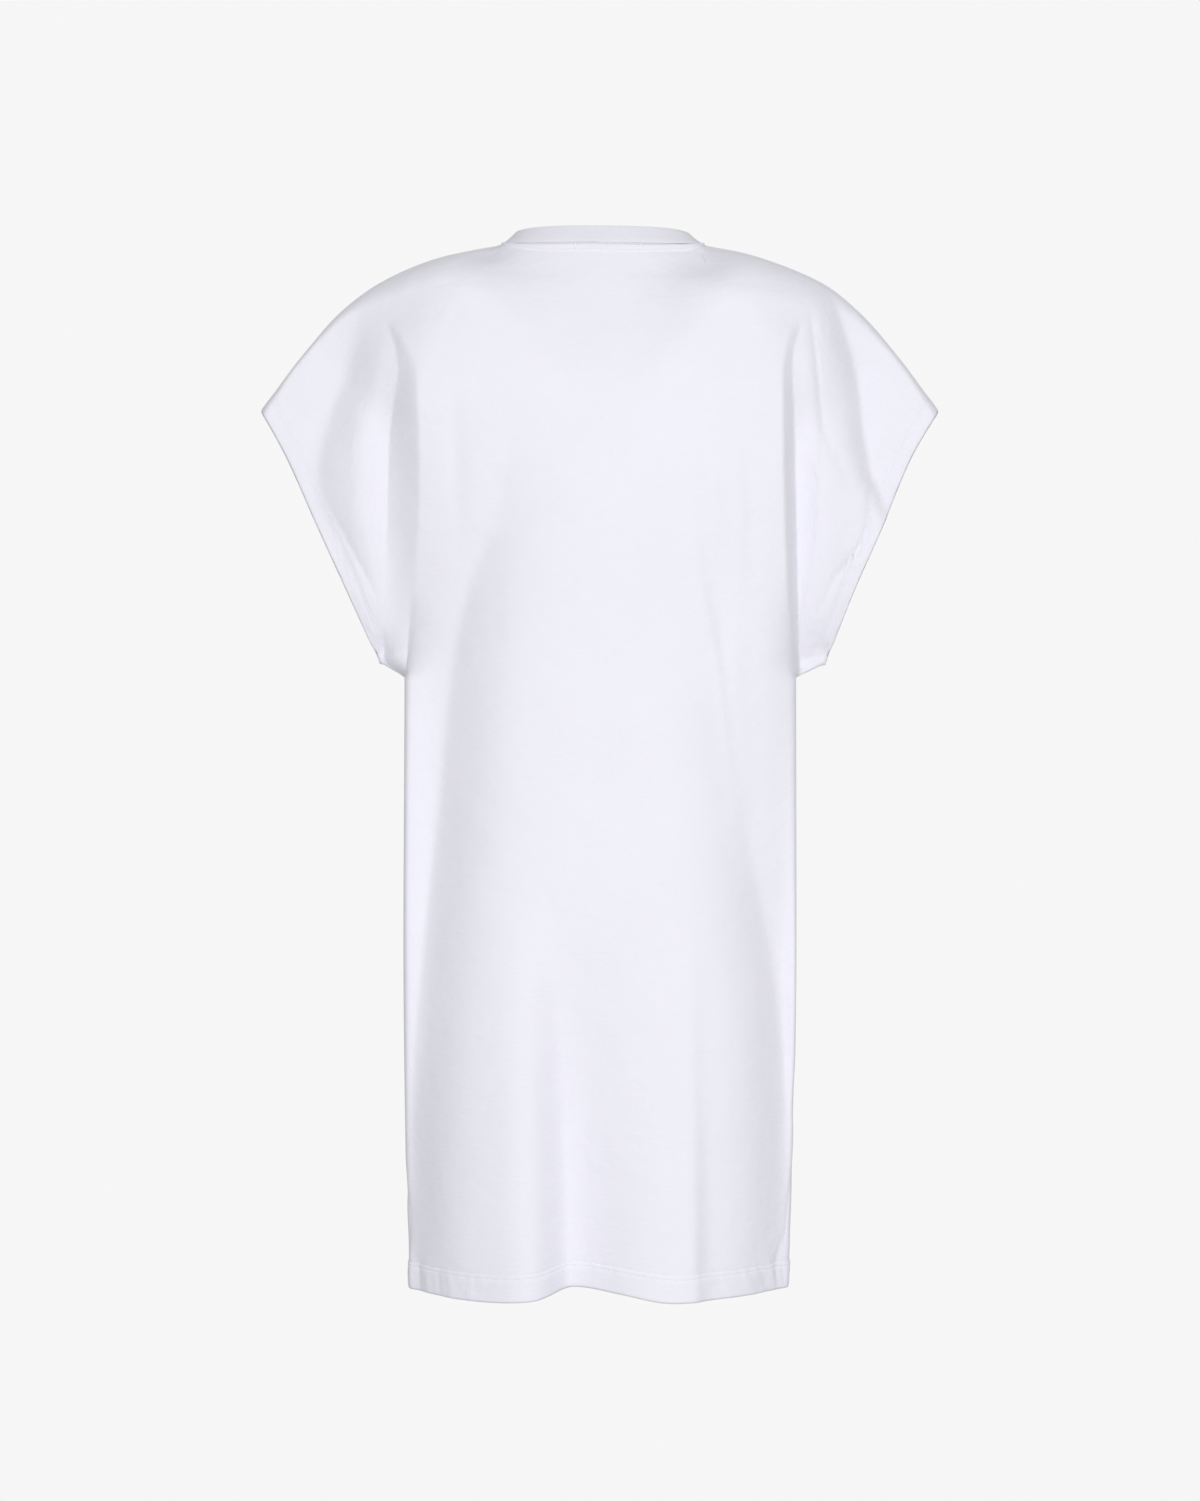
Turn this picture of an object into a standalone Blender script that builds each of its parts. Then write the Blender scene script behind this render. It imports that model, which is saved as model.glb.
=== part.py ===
"""T-shirt dress in white jersey, hollow as it is worn: back, front and rib neckband.

Frame: metres, +Z up. The front faces -Y, the back +Y and the wearer's left is +X. The origin is the
middle of the neck, level with the two points where the shoulder seams meet the neckband. Tables are
in millimetres.

Each panel is a net of columns, from side to side, and rows, from the hem up to the shoulder and neck.
Its outer rows and columns are the cut edges: side seam, underarm seam, cuff, overarm seam and
neckline. Every other point takes its depth from the body's section at its height, with the folds
added to it.
"""
import bpy
import numpy as np

MM = 0.001

# The cloth
WALL = 1.5 * MM
SEAM_GAP = 0.3 * MM
NECKBAND_WIDTH = 16.0 * MM
NECKBAND_LEAN = 33.0
NECKBAND_ROWS = (
    # share of the lean reached, length of the row as a share of the band
    (0.0, 0.11),
    (0.5, 0.18),
    (0.9, 0.31),
    (1.0, 0.40),
)

# Rows and columns of the net
SIDE_SEAM_ROWS = 17
UNDERARM_ROWS = 2
CUFF_ROWS = 14
HALF_COLUMNS = 26
NECK_COLUMNS = 10
NECK_CLOSER = 1.35
NECK_FAN = 3
NECK_FAN_FROM = 0.25
BODY_COLUMNS = 20
CUFF_ROWS_CLOSER = 1.45

# The neck: how far its round form stands out at the shoulders' level, and how far the neckline drops
NECK_DEPTH = {"back": 54.0 * MM, "front": 28.0 * MM}
NECK_DROP = {"back": 2.0 * MM, "front": 78.0 * MM}

# Underarm seam, cuff edge and overarm seam: wearer's left x and z, then wearer's right x and z
CUFF_EDGE = (
    # place,            left x, left z, right x, right z
    ("cuff corner",      188.5, -356.5, -193.0, -357.5),
    ("cuff, low",        212.0, -303.0, -213.0, -303.0),
    ("cuff, middle",     243.5, -234.0, -243.0, -234.0),
    ("cuff, high",       268.0, -179.5, -266.0, -180.5),
    ("sleeve tip",       289.8, -140.2, -289.8, -140.2),
)
OVERARM_SEAM = (
    # place,            left x, left z, right x, right z
    ("neck point",        83.5,    2.0,  -88.5,    1.5),
    ("shoulder",         116.0,   -4.5, -120.0,   -5.0),
    ("shoulder end",     150.0,  -14.5, -152.0,  -15.0),
    ("top of the arm",   189.0,  -32.0, -193.0,  -33.0),
    ("sleeve, high",     221.0,  -56.0, -224.0,  -58.0),
    ("sleeve, low",      252.0,  -91.0, -255.0,  -93.5),
    ("sleeve tip",       289.8, -140.2, -289.8, -140.2),
)
HEM_LINE = {
    # x and z of the hem as it hangs, from the wearer's left to the right
    "back": ((164.0, -890.0), (98.0, -892.0), (58.0, -890.0), (21.0, -881.5),
             (-18.0, -886.0), (-62.0, -892.5), (-118.0, -891.0), (-162.0, -889.5)),
    "front": ((164.0, -890.0), (84.0, -889.0), (30.0, -892.0),
              (-34.0, -888.0), (-92.0, -891.5), (-162.0, -889.5)),
}

# Sections through the body, from the hem up: half width on each side, half depth to the back and the
# front, and how square the section is (2 is an ellipse).
BODY_SECTIONS = (
    # place,            height, left, right, back, front, squareness
    ("hem",             -890.0, 164.0, 162.0, 112.0, 108.0,  2.10),
    ("above the hem",   -780.0, 167.0, 166.5, 112.0, 106.0,  2.40),
    ("hip",             -600.0, 168.5, 168.5, 109.0, 104.0,  3.00),
    ("waist",           -450.0, 168.8, 168.8, 103.0, 102.0,  3.40),
    ("underarm",        -369.5, 167.8, 168.3, 101.0, 107.0,  3.40),
    ("bust",            -240.0, 168.0, 168.0, 103.0, 114.0,  3.20),
    ("shoulder blades", -130.0, 168.0, 168.0, 100.0,  96.0,  3.00),
    ("arm top",          -60.0, 168.0, 168.0,  93.0,  82.0,  2.50),
    ("neck",              10.0, 168.0, 168.0,  88.0,  76.0,  2.20),
)
UNDERARM = BODY_SECTIONS[4]

# Above the underarm the body ends in a wall of cloth that falls away to the sleeve: where its foot is
# on each side, how wide it is, the sleeve's half depth, and the share of the middle's depth that the
# body still has at the wall.
ARM_SECTIONS = (
    # place,            height, left, right, left wall, right wall, sleeve, shoulder
    ("underarm",        -369.5, 168.0, 168.5,       8.0,        7.0,    0.0,   0.55),
    ("above underarm",  -330.0, 177.0, 167.0,      19.0,       11.0,   24.0,   0.68),
    ("bust",            -240.0, 178.0, 165.0,      27.0,       12.0,   32.0,   0.80),
    ("shoulder blades", -150.0, 177.0, 166.0,      27.0,       15.0,   35.0,   0.84),
    ("arm top",          -95.0, 192.0, 190.0,      40.0,       42.0,   37.0,   0.87),
    ("shoulder",         -40.0, 250.0, 250.0,     140.0,      140.0,   36.0,   0.92),
)
SHOULDER_CURVE = 2.6
ARM_FORM_FROM = 0.25

# How the cloth turns over from the overarm seam and the neckline to its full depth: over what height,
# and how sharply (0.5 is a round shoulder, 1 a slope). The neck's round form spreads as it goes down.
NECK_SPREAD = 1.2
TOP_TURN = (
    # place,     distance from the middle, height, sharpness
    ("neck",              0.0, 120.0, 1.00),
    ("neck point",       86.0,  86.0, 0.72),
    ("shoulder end",    150.0,  66.0, 0.52),
    ("sleeve, high",    222.0,  46.0, 0.55),
    ("sleeve, low",     256.0,  52.0, 0.70),
    ("sleeve tip",      290.0,  66.0, 0.90),
)

# Where the columns of the net run: how many columns from the middle, and how far from it in the rows
# that end below the underarm, at it and above it. The columns past the last line spread to the row's
# end.
COLUMN_HEIGHTS = (-520.0, -369.5, -300.0)
COLUMN_LINES = (
    # line,          column, below, underarm, above
    ("middle",            0,   0.0,      0.0,   0.0),
    ("neck point",       10,  78.0,     96.0, 106.0),
    ("shoulder blade",   13, 108.0,    126.0, 134.0),
    ("arm hollow, in",   15, 127.0,    143.0, 150.0),
    ("arm hollow, out",  20, 154.0,    163.0, 179.0),
)

# Folds: a line through three places (height and x), the height of the fold there (outward, or inward
# if negative), and its width toward the middle and toward the side. A "shelf" drops the cloth on its
# outer side, a "fold" is a ridge or a trough.
FOLDS = {
    "back": (
        # name,                kind,      z1,   x1,  h1,   z2,   x2,  h2,   z3,   x3,  h3, in, out
        ("left arm hollow",     "fold",   -75,  176,   0, -200,  171,  -9, -362,  172,  -5, 12, 10),
        ("left sleeve ridge",   "fold",   -75,  186,   0, -200,  193,  10, -345,  193,   3, 10, 14),
        ("left sleeve valley",  "fold",   -60,  205,   0, -190,  228, -11, -310,  216,  -5, 14, 12),
        ("right arm hollow",    "fold",   -70, -166,   0, -200, -163, -11, -362, -167,  -6,  8,  7),
        ("right sleeve ridge",  "fold",   -70, -180,   0, -190, -177,  10, -345, -182,   4,  9, 12),
        ("right sleeve valley", "fold",   -50, -198,   0, -170, -216, -12, -290, -219,  -6, 14, 11),
        ("left back shelf",     "shelf", -150,   80,   0, -420,  122, -34, -905,  156, -26, 34,  8),
        ("right back shelf",    "shelf", -260,  -76,   0, -540, -112, -19, -905, -156, -22, 30,  8),
        ("hem valley",          "fold",  -560,   30,   0, -760,   27, -10, -905,   22, -26, 28, 20),
        ("right hem crease",    "fold",  -640,  -84,   0, -780,  -87,  -4, -905,  -88,  -5, 10,  8),
    ),
    "front": (
        # name,                kind,      z1,   x1,  h1,   z2,   x2,  h2,   z3,   x3,  h3, in, out
        ("left arm hollow",     "fold",   -85,  174,   0, -205,  170,  -9, -362,  171,  -5, 11, 10),
        ("left sleeve valley",  "fold",   -60,  206,   0, -200,  224, -10, -305,  215,  -5, 14, 12),
        ("right arm hollow",    "fold",   -80, -170,   0, -210, -167,  -9, -362, -169,  -6,  9,  9),
        ("right sleeve valley", "fold",   -55, -204,   0, -185, -221, -11, -300, -214,  -5, 13, 12),
        ("left front shelf",    "shelf", -290,   96,   0, -520,  122, -24, -905,  152, -20, 34, 10),
        ("right front shelf",   "shelf", -300,  -92,   0, -540, -120, -21, -905, -153, -20, 34, 10),
        ("left front drape",    "fold",  -260,   70,   0, -560,   64,  -9, -905,   58, -17, 18, 24),
        ("right front drape",   "fold",  -270,  -62,   0, -600,  -58, -10, -905,  -50, -18, 24, 18),
    ),
}
FOLD_SIDE_FADE = 8
SLEEVE_EDGE_OPENS = 0.16
LEAST_DEPTH = 3.0 * MM
HEM_WAVE_REACH = 220.0 * MM

MATERIALS = {
    # piece: colour, roughness
    "back_panel": ((0.86, 0.86, 0.92), 0.85),
    "front_panel": ((0.86, 0.86, 0.92), 0.85),
    "neckband": ((0.80, 0.80, 0.87), 0.90),
}


def column_of(table, place, scale=MM):
    """One column of a table, as an array in metres."""
    return np.array([row[place] for row in table]) * scale


def through(at, stations, values):
    """A smooth curve through a table's points that never overshoots them (monotone cubic)."""
    order = np.argsort(stations)
    x, y = np.asarray(stations, float)[order], np.asarray(values, float)[order]
    step = np.diff(x)
    slope = np.diff(y) / step
    tangent = np.concatenate((slope[:1], np.zeros(len(x) - 2), slope[-1:]))
    same_way = slope[:-1] * slope[1:] > 0
    heavy, light = 2 * step[1:] + step[:-1], step[1:] + 2 * step[:-1]
    before, after = np.where(same_way, slope[:-1], 1.0), np.where(same_way, slope[1:], 1.0)
    tangent[1:-1] = np.where(same_way, (heavy + light) / (heavy / before + light / after), 0.0)
    at = np.clip(np.asarray(at, float), x[0], x[-1])
    k = np.clip(np.searchsorted(x, at, side="right") - 1, 0, len(step) - 1)
    u = (at - x[k]) / step[k]
    return ((1 + 2 * u) * (1 - u) ** 2 * y[k] + u * (1 - u) ** 2 * step[k] * tangent[k]
            + u * u * (3 - 2 * u) * y[k + 1] + u * u * (u - 1) * step[k] * tangent[k + 1])


def smooth_step(q):
    """0 below 0, 1 above 1, with a level start and end."""
    q = np.clip(q, 0.0, 1.0)
    return q * q * (3 - 2 * q)


def at_height(z, table, place, scale=MM):
    """A column of a table of sections, at each height."""
    return through(z, column_of(table, 1), column_of(table, place, scale))


def by_side(x, left, right):
    """One value or the other, by the side of the body that a point is on."""
    return np.where(x >= 0, left, right)


def body_depth(x, z, panel):
    """Half depth of the section below the underarm: a squarish ellipse between the side seams."""
    half_width = by_side(x, at_height(z, BODY_SECTIONS, 2), at_height(z, BODY_SECTIONS, 3))
    squareness = at_height(z, BODY_SECTIONS, 6, 1.0)
    out = np.clip(np.abs(x) / half_width, 0, 1)
    middle = at_height(z, BODY_SECTIONS, 4 if panel == "back" else 5)
    return middle * (1 - out ** squareness) ** (1 / squareness)


def arm_depth(x, z, panel):
    """Half depth above the underarm: a gently curved body, the wall at its side, and the flat sleeve.
    The second value is 1 on the body, 0 on the sleeve."""
    foot = by_side(x, at_height(z, ARM_SECTIONS, 2), at_height(z, ARM_SECTIONS, 3))
    width = by_side(x, at_height(z, ARM_SECTIONS, 4), at_height(z, ARM_SECTIONS, 5))
    sleeve = at_height(z, ARM_SECTIONS, 6)
    shoulder = at_height(z, ARM_SECTIONS, 7, 1.0)
    bow = 1 - (1 - shoulder) * (np.abs(x) / (foot - width)) ** SHOULDER_CURVE
    body = at_height(z, BODY_SECTIONS, 4 if panel == "back" else 5) * np.clip(bow, 0, 1)
    on_body = 1 - np.sin(np.clip((np.abs(x) - foot + width) / width, 0, 1) * np.pi / 2)
    return sleeve + (body - sleeve) * on_body, on_body


def side_edges():
    """The rows' ends, left and right: up the side seam, along the underarm seam, up the cuff. The last
    two values are how far each row has risen from the underarm to the top, and how far along the cuff
    it is."""
    hem, underarm = BODY_SECTIONS[0][1] * MM, UNDERARM[1] * MM
    seam_z = np.linspace(hem, underarm, SIDE_SEAM_ROWS + 1)
    along_underarm = np.arange(1, UNDERARM_ROWS) / UNDERARM_ROWS
    along_cuff = 1 - (1 - np.arange(CUFF_ROWS + 1) / CUFF_ROWS) ** CUFF_ROWS_CLOSER
    stations = np.linspace(0, 1, len(CUFF_EDGE))
    ends = {}
    for side, sign, x_column, z_column in (("left", 1, 1, 2), ("right", -1, 3, 4)):
        seam_x = at_height(seam_z, BODY_SECTIONS, 2 if side == "left" else 3) * sign
        corner = np.array([CUFF_EDGE[0][x_column], CUFF_EDGE[0][z_column]]) * MM
        web_x = seam_x[-1] + (corner[0] - seam_x[-1]) * along_underarm
        web_z = seam_z[-1] + (corner[1] - seam_z[-1]) * along_underarm
        cuff_x = through(along_cuff, stations, column_of(CUFF_EDGE, x_column))
        cuff_z = through(along_cuff, stations, column_of(CUFF_EDGE, z_column))
        edge_x = np.concatenate((seam_x, web_x, cuff_x))
        edge_z = np.concatenate((seam_z, web_z, cuff_z))
        ends[side] = np.stack((edge_x, edge_z))
    tip_z = CUFF_EDGE[-1][2] * MM
    rise = np.clip((ends["left"][1] - underarm) / (tip_z - underarm), 0.0, 1.0)
    cuff_share = np.concatenate((np.zeros(SIDE_SEAM_ROWS + UNDERARM_ROWS), along_cuff))
    return ends["left"], ends["right"], rise, cuff_share


def neck_turn(columns):
    """Angle of each column round the neck: 0 in the middle, a right angle at the neck point."""
    out = np.clip(np.abs(columns) / NECK_COLUMNS, 0, 1)
    return (1 - (1 - out) ** NECK_CLOSER) * np.pi / 2


def column_places(columns, rise, edge_x, edge_z):
    """Distance from the middle of every column in every row, for rows that end at the given places."""
    out = np.abs(columns)
    lines = column_of(COLUMN_LINES, 1, 1.0)
    heights = np.array(COLUMN_HEIGHTS) * MM
    at_underarm = through(edge_z, heights, (0, 1, 0))
    upright = through(edge_z, heights, (0, 0, 1))
    body = through(out, lines, column_of(COLUMN_LINES, 2)) * (1 - at_underarm - upright)
    body += through(out, lines, column_of(COLUMN_LINES, 3)) * at_underarm
    body += through(out, lines, column_of(COLUMN_LINES, 4)) * upright
    neck_point = by_side(columns, OVERARM_SEAM[0][1], -OVERARM_SEAM[0][3]) * MM
    round_neck = neck_point * np.sin(neck_turn(columns))
    to_neck = np.clip((rise - NECK_FAN_FROM) / (1 - NECK_FAN_FROM), 0, 1)[:, None] ** NECK_FAN
    body = np.where(out <= NECK_COLUMNS, body + (round_neck - body) * to_neck, body)
    left_last, right_last = body[:, columns == BODY_COLUMNS], body[:, columns == -BODY_COLUMNS]
    last = np.where(columns >= 0, left_last, right_last)
    spread = np.clip((out - BODY_COLUMNS) / (HALF_COLUMNS - BODY_COLUMNS), 0, 1)
    round_side = np.sin(spread * np.pi / 2)
    beyond = last + (edge_x - last) * (round_side + (spread - round_side) * upright)
    return np.where(out <= BODY_COLUMNS, body, beyond)


def overarm_height(x):
    """Height of the overarm seam, which goes on level across the neck."""
    left = through(x, column_of(OVERARM_SEAM, 1), column_of(OVERARM_SEAM, 2))
    right = through(x, column_of(OVERARM_SEAM, 3), column_of(OVERARM_SEAM, 4))
    return by_side(x, left, right)


def fold_height(x, z, panel, on_body):
    """All folds together: each is a bell or a shelf across its line, as high as its three places say.
    A shelf stays on the body."""
    total = np.zeros_like(x)
    for _, kind, z1, x1, h1, z2, x2, h2, z3, x3, h3, inner, outer in FOLDS[panel]:
        heights = np.array([z1, z2, z3]) * MM
        line = through(z, heights, np.array([x1, x2, x3]) * MM)
        height = through(z, heights, np.array([h1, h2, h3]) * MM)
        height = height * (z <= z1 * MM)
        across = (x - line) * np.sign(x2)
        width = np.where(across > 0, outer, inner) * MM
        if kind == "fold":
            total += height * np.exp(-(across / width) ** 2)
        else:
            dropped = (inner * MM + width * np.tanh(across / width)) / ((inner + outer) * MM)
            total += height * on_body * dropped
    return total


def panel_points(panel):
    """The inner face of a panel: rows by columns by (x, y, z)."""
    columns = np.arange(-HALF_COLUMNS, HALF_COLUMNS + 1)
    left, right, rise, cuff_share = side_edges()
    on_left = columns >= 0
    edge_x = np.where(on_left, left[0][:, None], -right[0][:, None])
    edge_z = np.where(on_left, left[1][:, None], right[1][:, None])
    x = column_places(columns, rise, edge_x, edge_z) * np.sign(columns)
    top_z = overarm_height(x[-1]) - NECK_DROP[panel] * np.cos(neck_turn(columns))
    lift = np.sin(rise * np.pi / 2)[:, None]
    z = edge_z + lift * (top_z - edge_z[-1])
    hem = np.array(HEM_LINE[panel]) * MM
    hem_wave = through(x, hem[:, 0], hem[:, 1]) - edge_z[0]
    z = z + hem_wave * np.clip(1 - (z - edge_z[0]) / HEM_WAVE_REACH, 0, 1) ** 2

    arm_form = smooth_step(rise / ARM_FORM_FROM)[:, None]
    above, on_body = arm_depth(x, z, panel)
    depth = body_depth(x, z, panel) * (1 - arm_form) + above * arm_form
    opens = smooth_step(cuff_share / SLEEVE_EDGE_OPENS)[:, None]
    side_share = 1 - (1 - opens) * np.clip(np.abs(x / edge_x), 0, 1) ** FOLD_SIDE_FADE
    depth += side_share * fold_height(x, z, panel, 1 - arm_form * (1 - on_body))
    on_seam = (np.abs(columns)[None] == HALF_COLUMNS) & (opens == 0)
    depth = np.where(on_seam, 0.0, np.maximum(depth, LEAST_DEPTH))

    start_z = overarm_height(x)
    neck_reach = by_side(x, OVERARM_SEAM[0][1], -OVERARM_SEAM[0][3]) * MM + NECK_SPREAD * (start_z - z)
    start_y = NECK_DEPTH[panel] * np.sqrt(np.clip(1 - (x / neck_reach) ** 2, 0, 1))
    distances = column_of(TOP_TURN, 1)
    turn_height = through(np.abs(x), distances, column_of(TOP_TURN, 2))
    sharpness = through(np.abs(x), distances, column_of(TOP_TURN, 3, 1.0))
    down = np.clip((start_z - z) / turn_height, 0, 1)
    turned = (1 - (1 - down) ** 2) ** sharpness
    y = start_y + (depth - start_y) * turned + SEAM_GAP / 2
    return np.stack((x, y if panel == "back" else -y, z), axis=-1)


def net_faces(rows, columns, closed=False):
    """Four-sided faces of a net whose points run row by row."""
    across = np.arange(columns if closed else columns - 1)
    up = np.arange(rows - 1)
    corner = (up[:, None] * columns + across[None]).ravel()
    beside = (up[:, None] * columns + (across[None] + 1) % columns).ravel()
    return np.stack((corner, beside, beside + columns, corner + columns), axis=1)


def cloth_material(name):
    """Plain cloth: the piece's colour, matt."""
    colour, roughness = MATERIALS[name]
    material = bpy.data.materials.new(name)
    material.use_nodes = True
    shader = material.node_tree.nodes["Principled BSDF"]
    shader.inputs["Base Color"].default_value = (*colour, 1.0)
    shader.inputs["Roughness"].default_value = roughness
    shader.inputs["Metallic"].default_value = 0.0
    return material


def cloth_piece(name, points, faces, collection):
    """A sheet through the points, given its wall outward by a Solidify modifier."""
    mesh = bpy.data.meshes.new(name)
    mesh.from_pydata(points.reshape(-1, 3).tolist(), [], faces.tolist())
    mesh.materials.append(cloth_material(name))
    piece = bpy.data.objects.new(name, mesh)
    collection.objects.link(piece)
    mesh.shade_smooth()
    wall = piece.modifiers.new("wall", "SOLIDIFY")
    wall.thickness = WALL
    wall.offset = 1.0
    return piece


def make_panel(panel, collection):
    """A panel as a cloth piece. Its faces point away from the body."""
    points = panel_points(panel)
    faces = net_faces(*points.shape[:2])
    if panel == "back":
        faces = faces[:, ::-1]
    return cloth_piece(panel + "_panel", points, faces, collection)


def neckline(piece):
    """Places and normals of a panel's neckline, from the wearer's right to the left."""
    width = 2 * HALF_COLUMNS + 1
    first = (SIDE_SEAM_ROWS + UNDERARM_ROWS + CUFF_ROWS) * width + HALF_COLUMNS - NECK_COLUMNS
    points = [piece.data.vertices[first + k] for k in range(2 * NECK_COLUMNS + 1)]
    return np.array([v.co for v in points]), np.array([v.normal for v in points])


def unit(vectors):
    return vectors / np.linalg.norm(vectors, axis=-1, keepdims=True)


def make_neckband(back, front, collection):
    """The band goes on from the panels' own edge points, a seam's gap away, then turns up and leans
    inward."""
    back_at, back_out = neckline(back)
    front_at, front_out = neckline(front)
    ring = np.concatenate((back_at, front_at[-2:0:-1]))
    normal = np.concatenate((back_out, front_out[-2:0:-1]))
    for here, there in ((0, 0), (2 * NECK_COLUMNS, -1)):
        ring[here] = (back_at[there] + front_at[there]) / 2
        normal[here] = back_out[there] + front_out[there]
    normal = unit(normal)
    ahead = unit(np.roll(ring, -1, axis=0) - ring)
    along = unit(ahead + np.roll(ahead, 1, axis=0))
    onward = unit(np.cross(along, normal))
    inward = unit(np.stack((-ring[:, 0], -ring[:, 1], np.zeros(len(ring))), axis=1))
    lean = np.radians(NECKBAND_LEAN)
    upward = inward * np.sin(lean) + np.array([0, 0, 1.0]) * np.cos(lean)
    upward = unit(upward - along * (upward * along).sum(axis=1, keepdims=True))
    rows = [ring + onward * SEAM_GAP]
    for turned, length in NECKBAND_ROWS:
        heading = unit(onward * (1 - turned) + upward * turned)
        rows.append(rows[-1] + heading * length * NECKBAND_WIDTH)
    points = np.stack(rows)
    faces = net_faces(*points.shape[:2], closed=True)[:, ::-1]
    return cloth_piece("neckband", points, faces, collection)


def clear_scene():
    for thing in list(bpy.data.objects):
        bpy.data.objects.remove(thing, do_unlink=True)


def main():
    clear_scene()
    collection = bpy.data.collections.new("t_shirt_dress")
    bpy.context.scene.collection.children.link(collection)
    back = make_panel("back", collection)
    front = make_panel("front", collection)
    make_neckband(back, front, collection)


main()
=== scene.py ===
"""T-shirt dress in white cotton jersey: the look of its cloth, rib, seams and sewing.

Frame: metres, +Z up. The front faces -Y, the back +Y and the wearer's left is +X. The origin is the
middle of the neck, level with the two points where the shoulder seams meet the neckband. Tables are
in millimetres.

A panel of cloth is a surface over two numbers: its row, which goes up the side seam, along the
underarm seam and up the cuff, and its column, which goes from the wearer's right to the left. Every
piece of sewing is placed by the same two numbers, on the cloth's outer face.
"""

import bpy
import numpy as np
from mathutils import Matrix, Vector


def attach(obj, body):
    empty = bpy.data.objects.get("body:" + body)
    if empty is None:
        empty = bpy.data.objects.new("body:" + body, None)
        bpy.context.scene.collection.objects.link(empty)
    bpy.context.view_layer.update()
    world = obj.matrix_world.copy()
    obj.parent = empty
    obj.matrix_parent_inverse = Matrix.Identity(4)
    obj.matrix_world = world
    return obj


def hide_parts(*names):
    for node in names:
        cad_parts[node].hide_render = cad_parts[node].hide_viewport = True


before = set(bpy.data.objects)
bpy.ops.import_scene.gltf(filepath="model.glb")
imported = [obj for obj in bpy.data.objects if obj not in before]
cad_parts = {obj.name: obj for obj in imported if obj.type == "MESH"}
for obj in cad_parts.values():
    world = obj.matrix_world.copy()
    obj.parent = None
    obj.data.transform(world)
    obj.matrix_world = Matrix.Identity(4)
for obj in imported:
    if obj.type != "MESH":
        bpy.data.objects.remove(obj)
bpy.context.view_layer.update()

MM = 0.001

# The cloth: its thickness, the dip along a seam and how wide it is, how wide the turned hem, the turned
# cuffs and the seam allowances are, and the gap between turned cloth and the cloth it lies on
CLOTH = 0.9 * MM
SEAM_DIP = 0.5 * MM
SEAM_DIP_WIDTH = 1.6 * MM
HEM_WIDTH = 23.5 * MM
CUFF_WIDTH = 17.0 * MM
SEAM_ALLOWANCE = 7.0 * MM
TURN_GAP = 0.4 * MM

# Rows and columns: the row numbers where the underarm seam and the cuff begin and where the cuff ends, and
# the column numbers of the neck point, of the last line of the table of columns and of the edge
UNDERARM_ROW = 17
CUFF_ROW = 19
TOP_ROW = 33
NECK_COLUMN = 10
BODY_COLUMN = 20
EDGE_COLUMN = 26

# How much closer the columns lie toward the neck points and the rows toward the sleeve tip, and from what
# share of the rise and how sharply the columns fan in to the neckline
NECK_CLOSER = 1.35
CUFF_ROWS_CLOSER = 1.45
NECK_FAN_FROM = 0.25
NECK_FAN = 3

# The neck: how far its round form stands out at the shoulders' level, and how far the neckline drops
NECK_DEPTH = {"back": 57.0 * MM, "front": 28.0 * MM}
NECK_DROP = {"back": 3.8 * MM, "front": 78.0 * MM}

# Underarm seam, cuff edge and overarm seam: wearer's left x and z, then wearer's right x and z
CUFF_EDGE = (
    # place,            left x, left z, right x, right z
    ("cuff corner",      188.5, -356.5, -193.0, -357.5),
    ("cuff, low",        212.0, -303.0, -213.0, -303.0),
    ("cuff, middle",     243.5, -234.0, -243.0, -234.0),
    ("cuff, high",       268.0, -179.5, -266.0, -180.5),
    ("sleeve tip",       289.8, -140.2, -289.8, -140.2),
)
OVERARM_SEAM = (
    # place,            left x, left z, right x, right z
    ("neck point",        83.5,    2.0,  -88.5,    1.5),
    ("shoulder",         116.0,   -4.5, -120.0,   -5.0),
    ("shoulder end",     150.0,  -14.5, -152.0,  -15.0),
    ("top of the arm",   189.0,  -32.0, -193.0,  -33.0),
    ("sleeve, high",     221.0,  -56.0, -224.0,  -58.0),
    ("sleeve, low",      252.0,  -91.0, -255.0,  -93.5),
    ("sleeve tip",       289.8, -140.2, -289.8, -140.2),
)
HEM_LINE = {
    # x and z of the hem as it hangs, from the wearer's left to the right
    "back": ((164.0, -890.0), (98.0, -892.0), (58.0, -890.0), (21.0, -881.5),
             (-18.0, -886.0), (-62.0, -892.5), (-118.0, -891.0), (-162.0, -889.5)),
    "front": ((164.0, -890.0), (84.0, -889.0), (30.0, -892.0),
              (-34.0, -888.0), (-92.0, -891.5), (-162.0, -889.5)),
}
HEM_WAVE_REACH = 220.0 * MM  # how far up the hem's waves are felt

# Sections through the body, from the hem up: half width on each side, half depth to the back and the
# front, and how square the section is (2 is an ellipse).
BODY_SECTIONS = (
    # place,            height, left, right, back, front, squareness
    ("hem",             -890.0, 162.9, 160.4, 112.0, 108.0,  2.80),
    ("above the hem",   -780.0, 165.4, 164.4, 112.0, 106.0,  3.50),
    ("hip",             -600.0, 166.8, 166.7, 109.0, 104.0,  4.40),
    ("waist",           -450.0, 166.2, 166.5, 103.0, 102.0,  4.60),
    ("underarm",        -369.5, 165.9, 166.4, 101.0, 107.0,  4.60),
    ("bust",            -240.0, 168.0, 168.0, 103.0, 114.0,  3.20),
    ("shoulder blades", -130.0, 168.0, 168.0, 100.0,  96.0,  3.00),
    ("arm top",          -60.0, 168.0, 168.0,  93.0,  82.0,  2.50),
    ("neck",              10.0, 168.0, 168.0,  88.0,  76.0,  2.20),
)
HEM_HEIGHT, UNDERARM_HEIGHT = -890.0 * MM, -369.5 * MM

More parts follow.
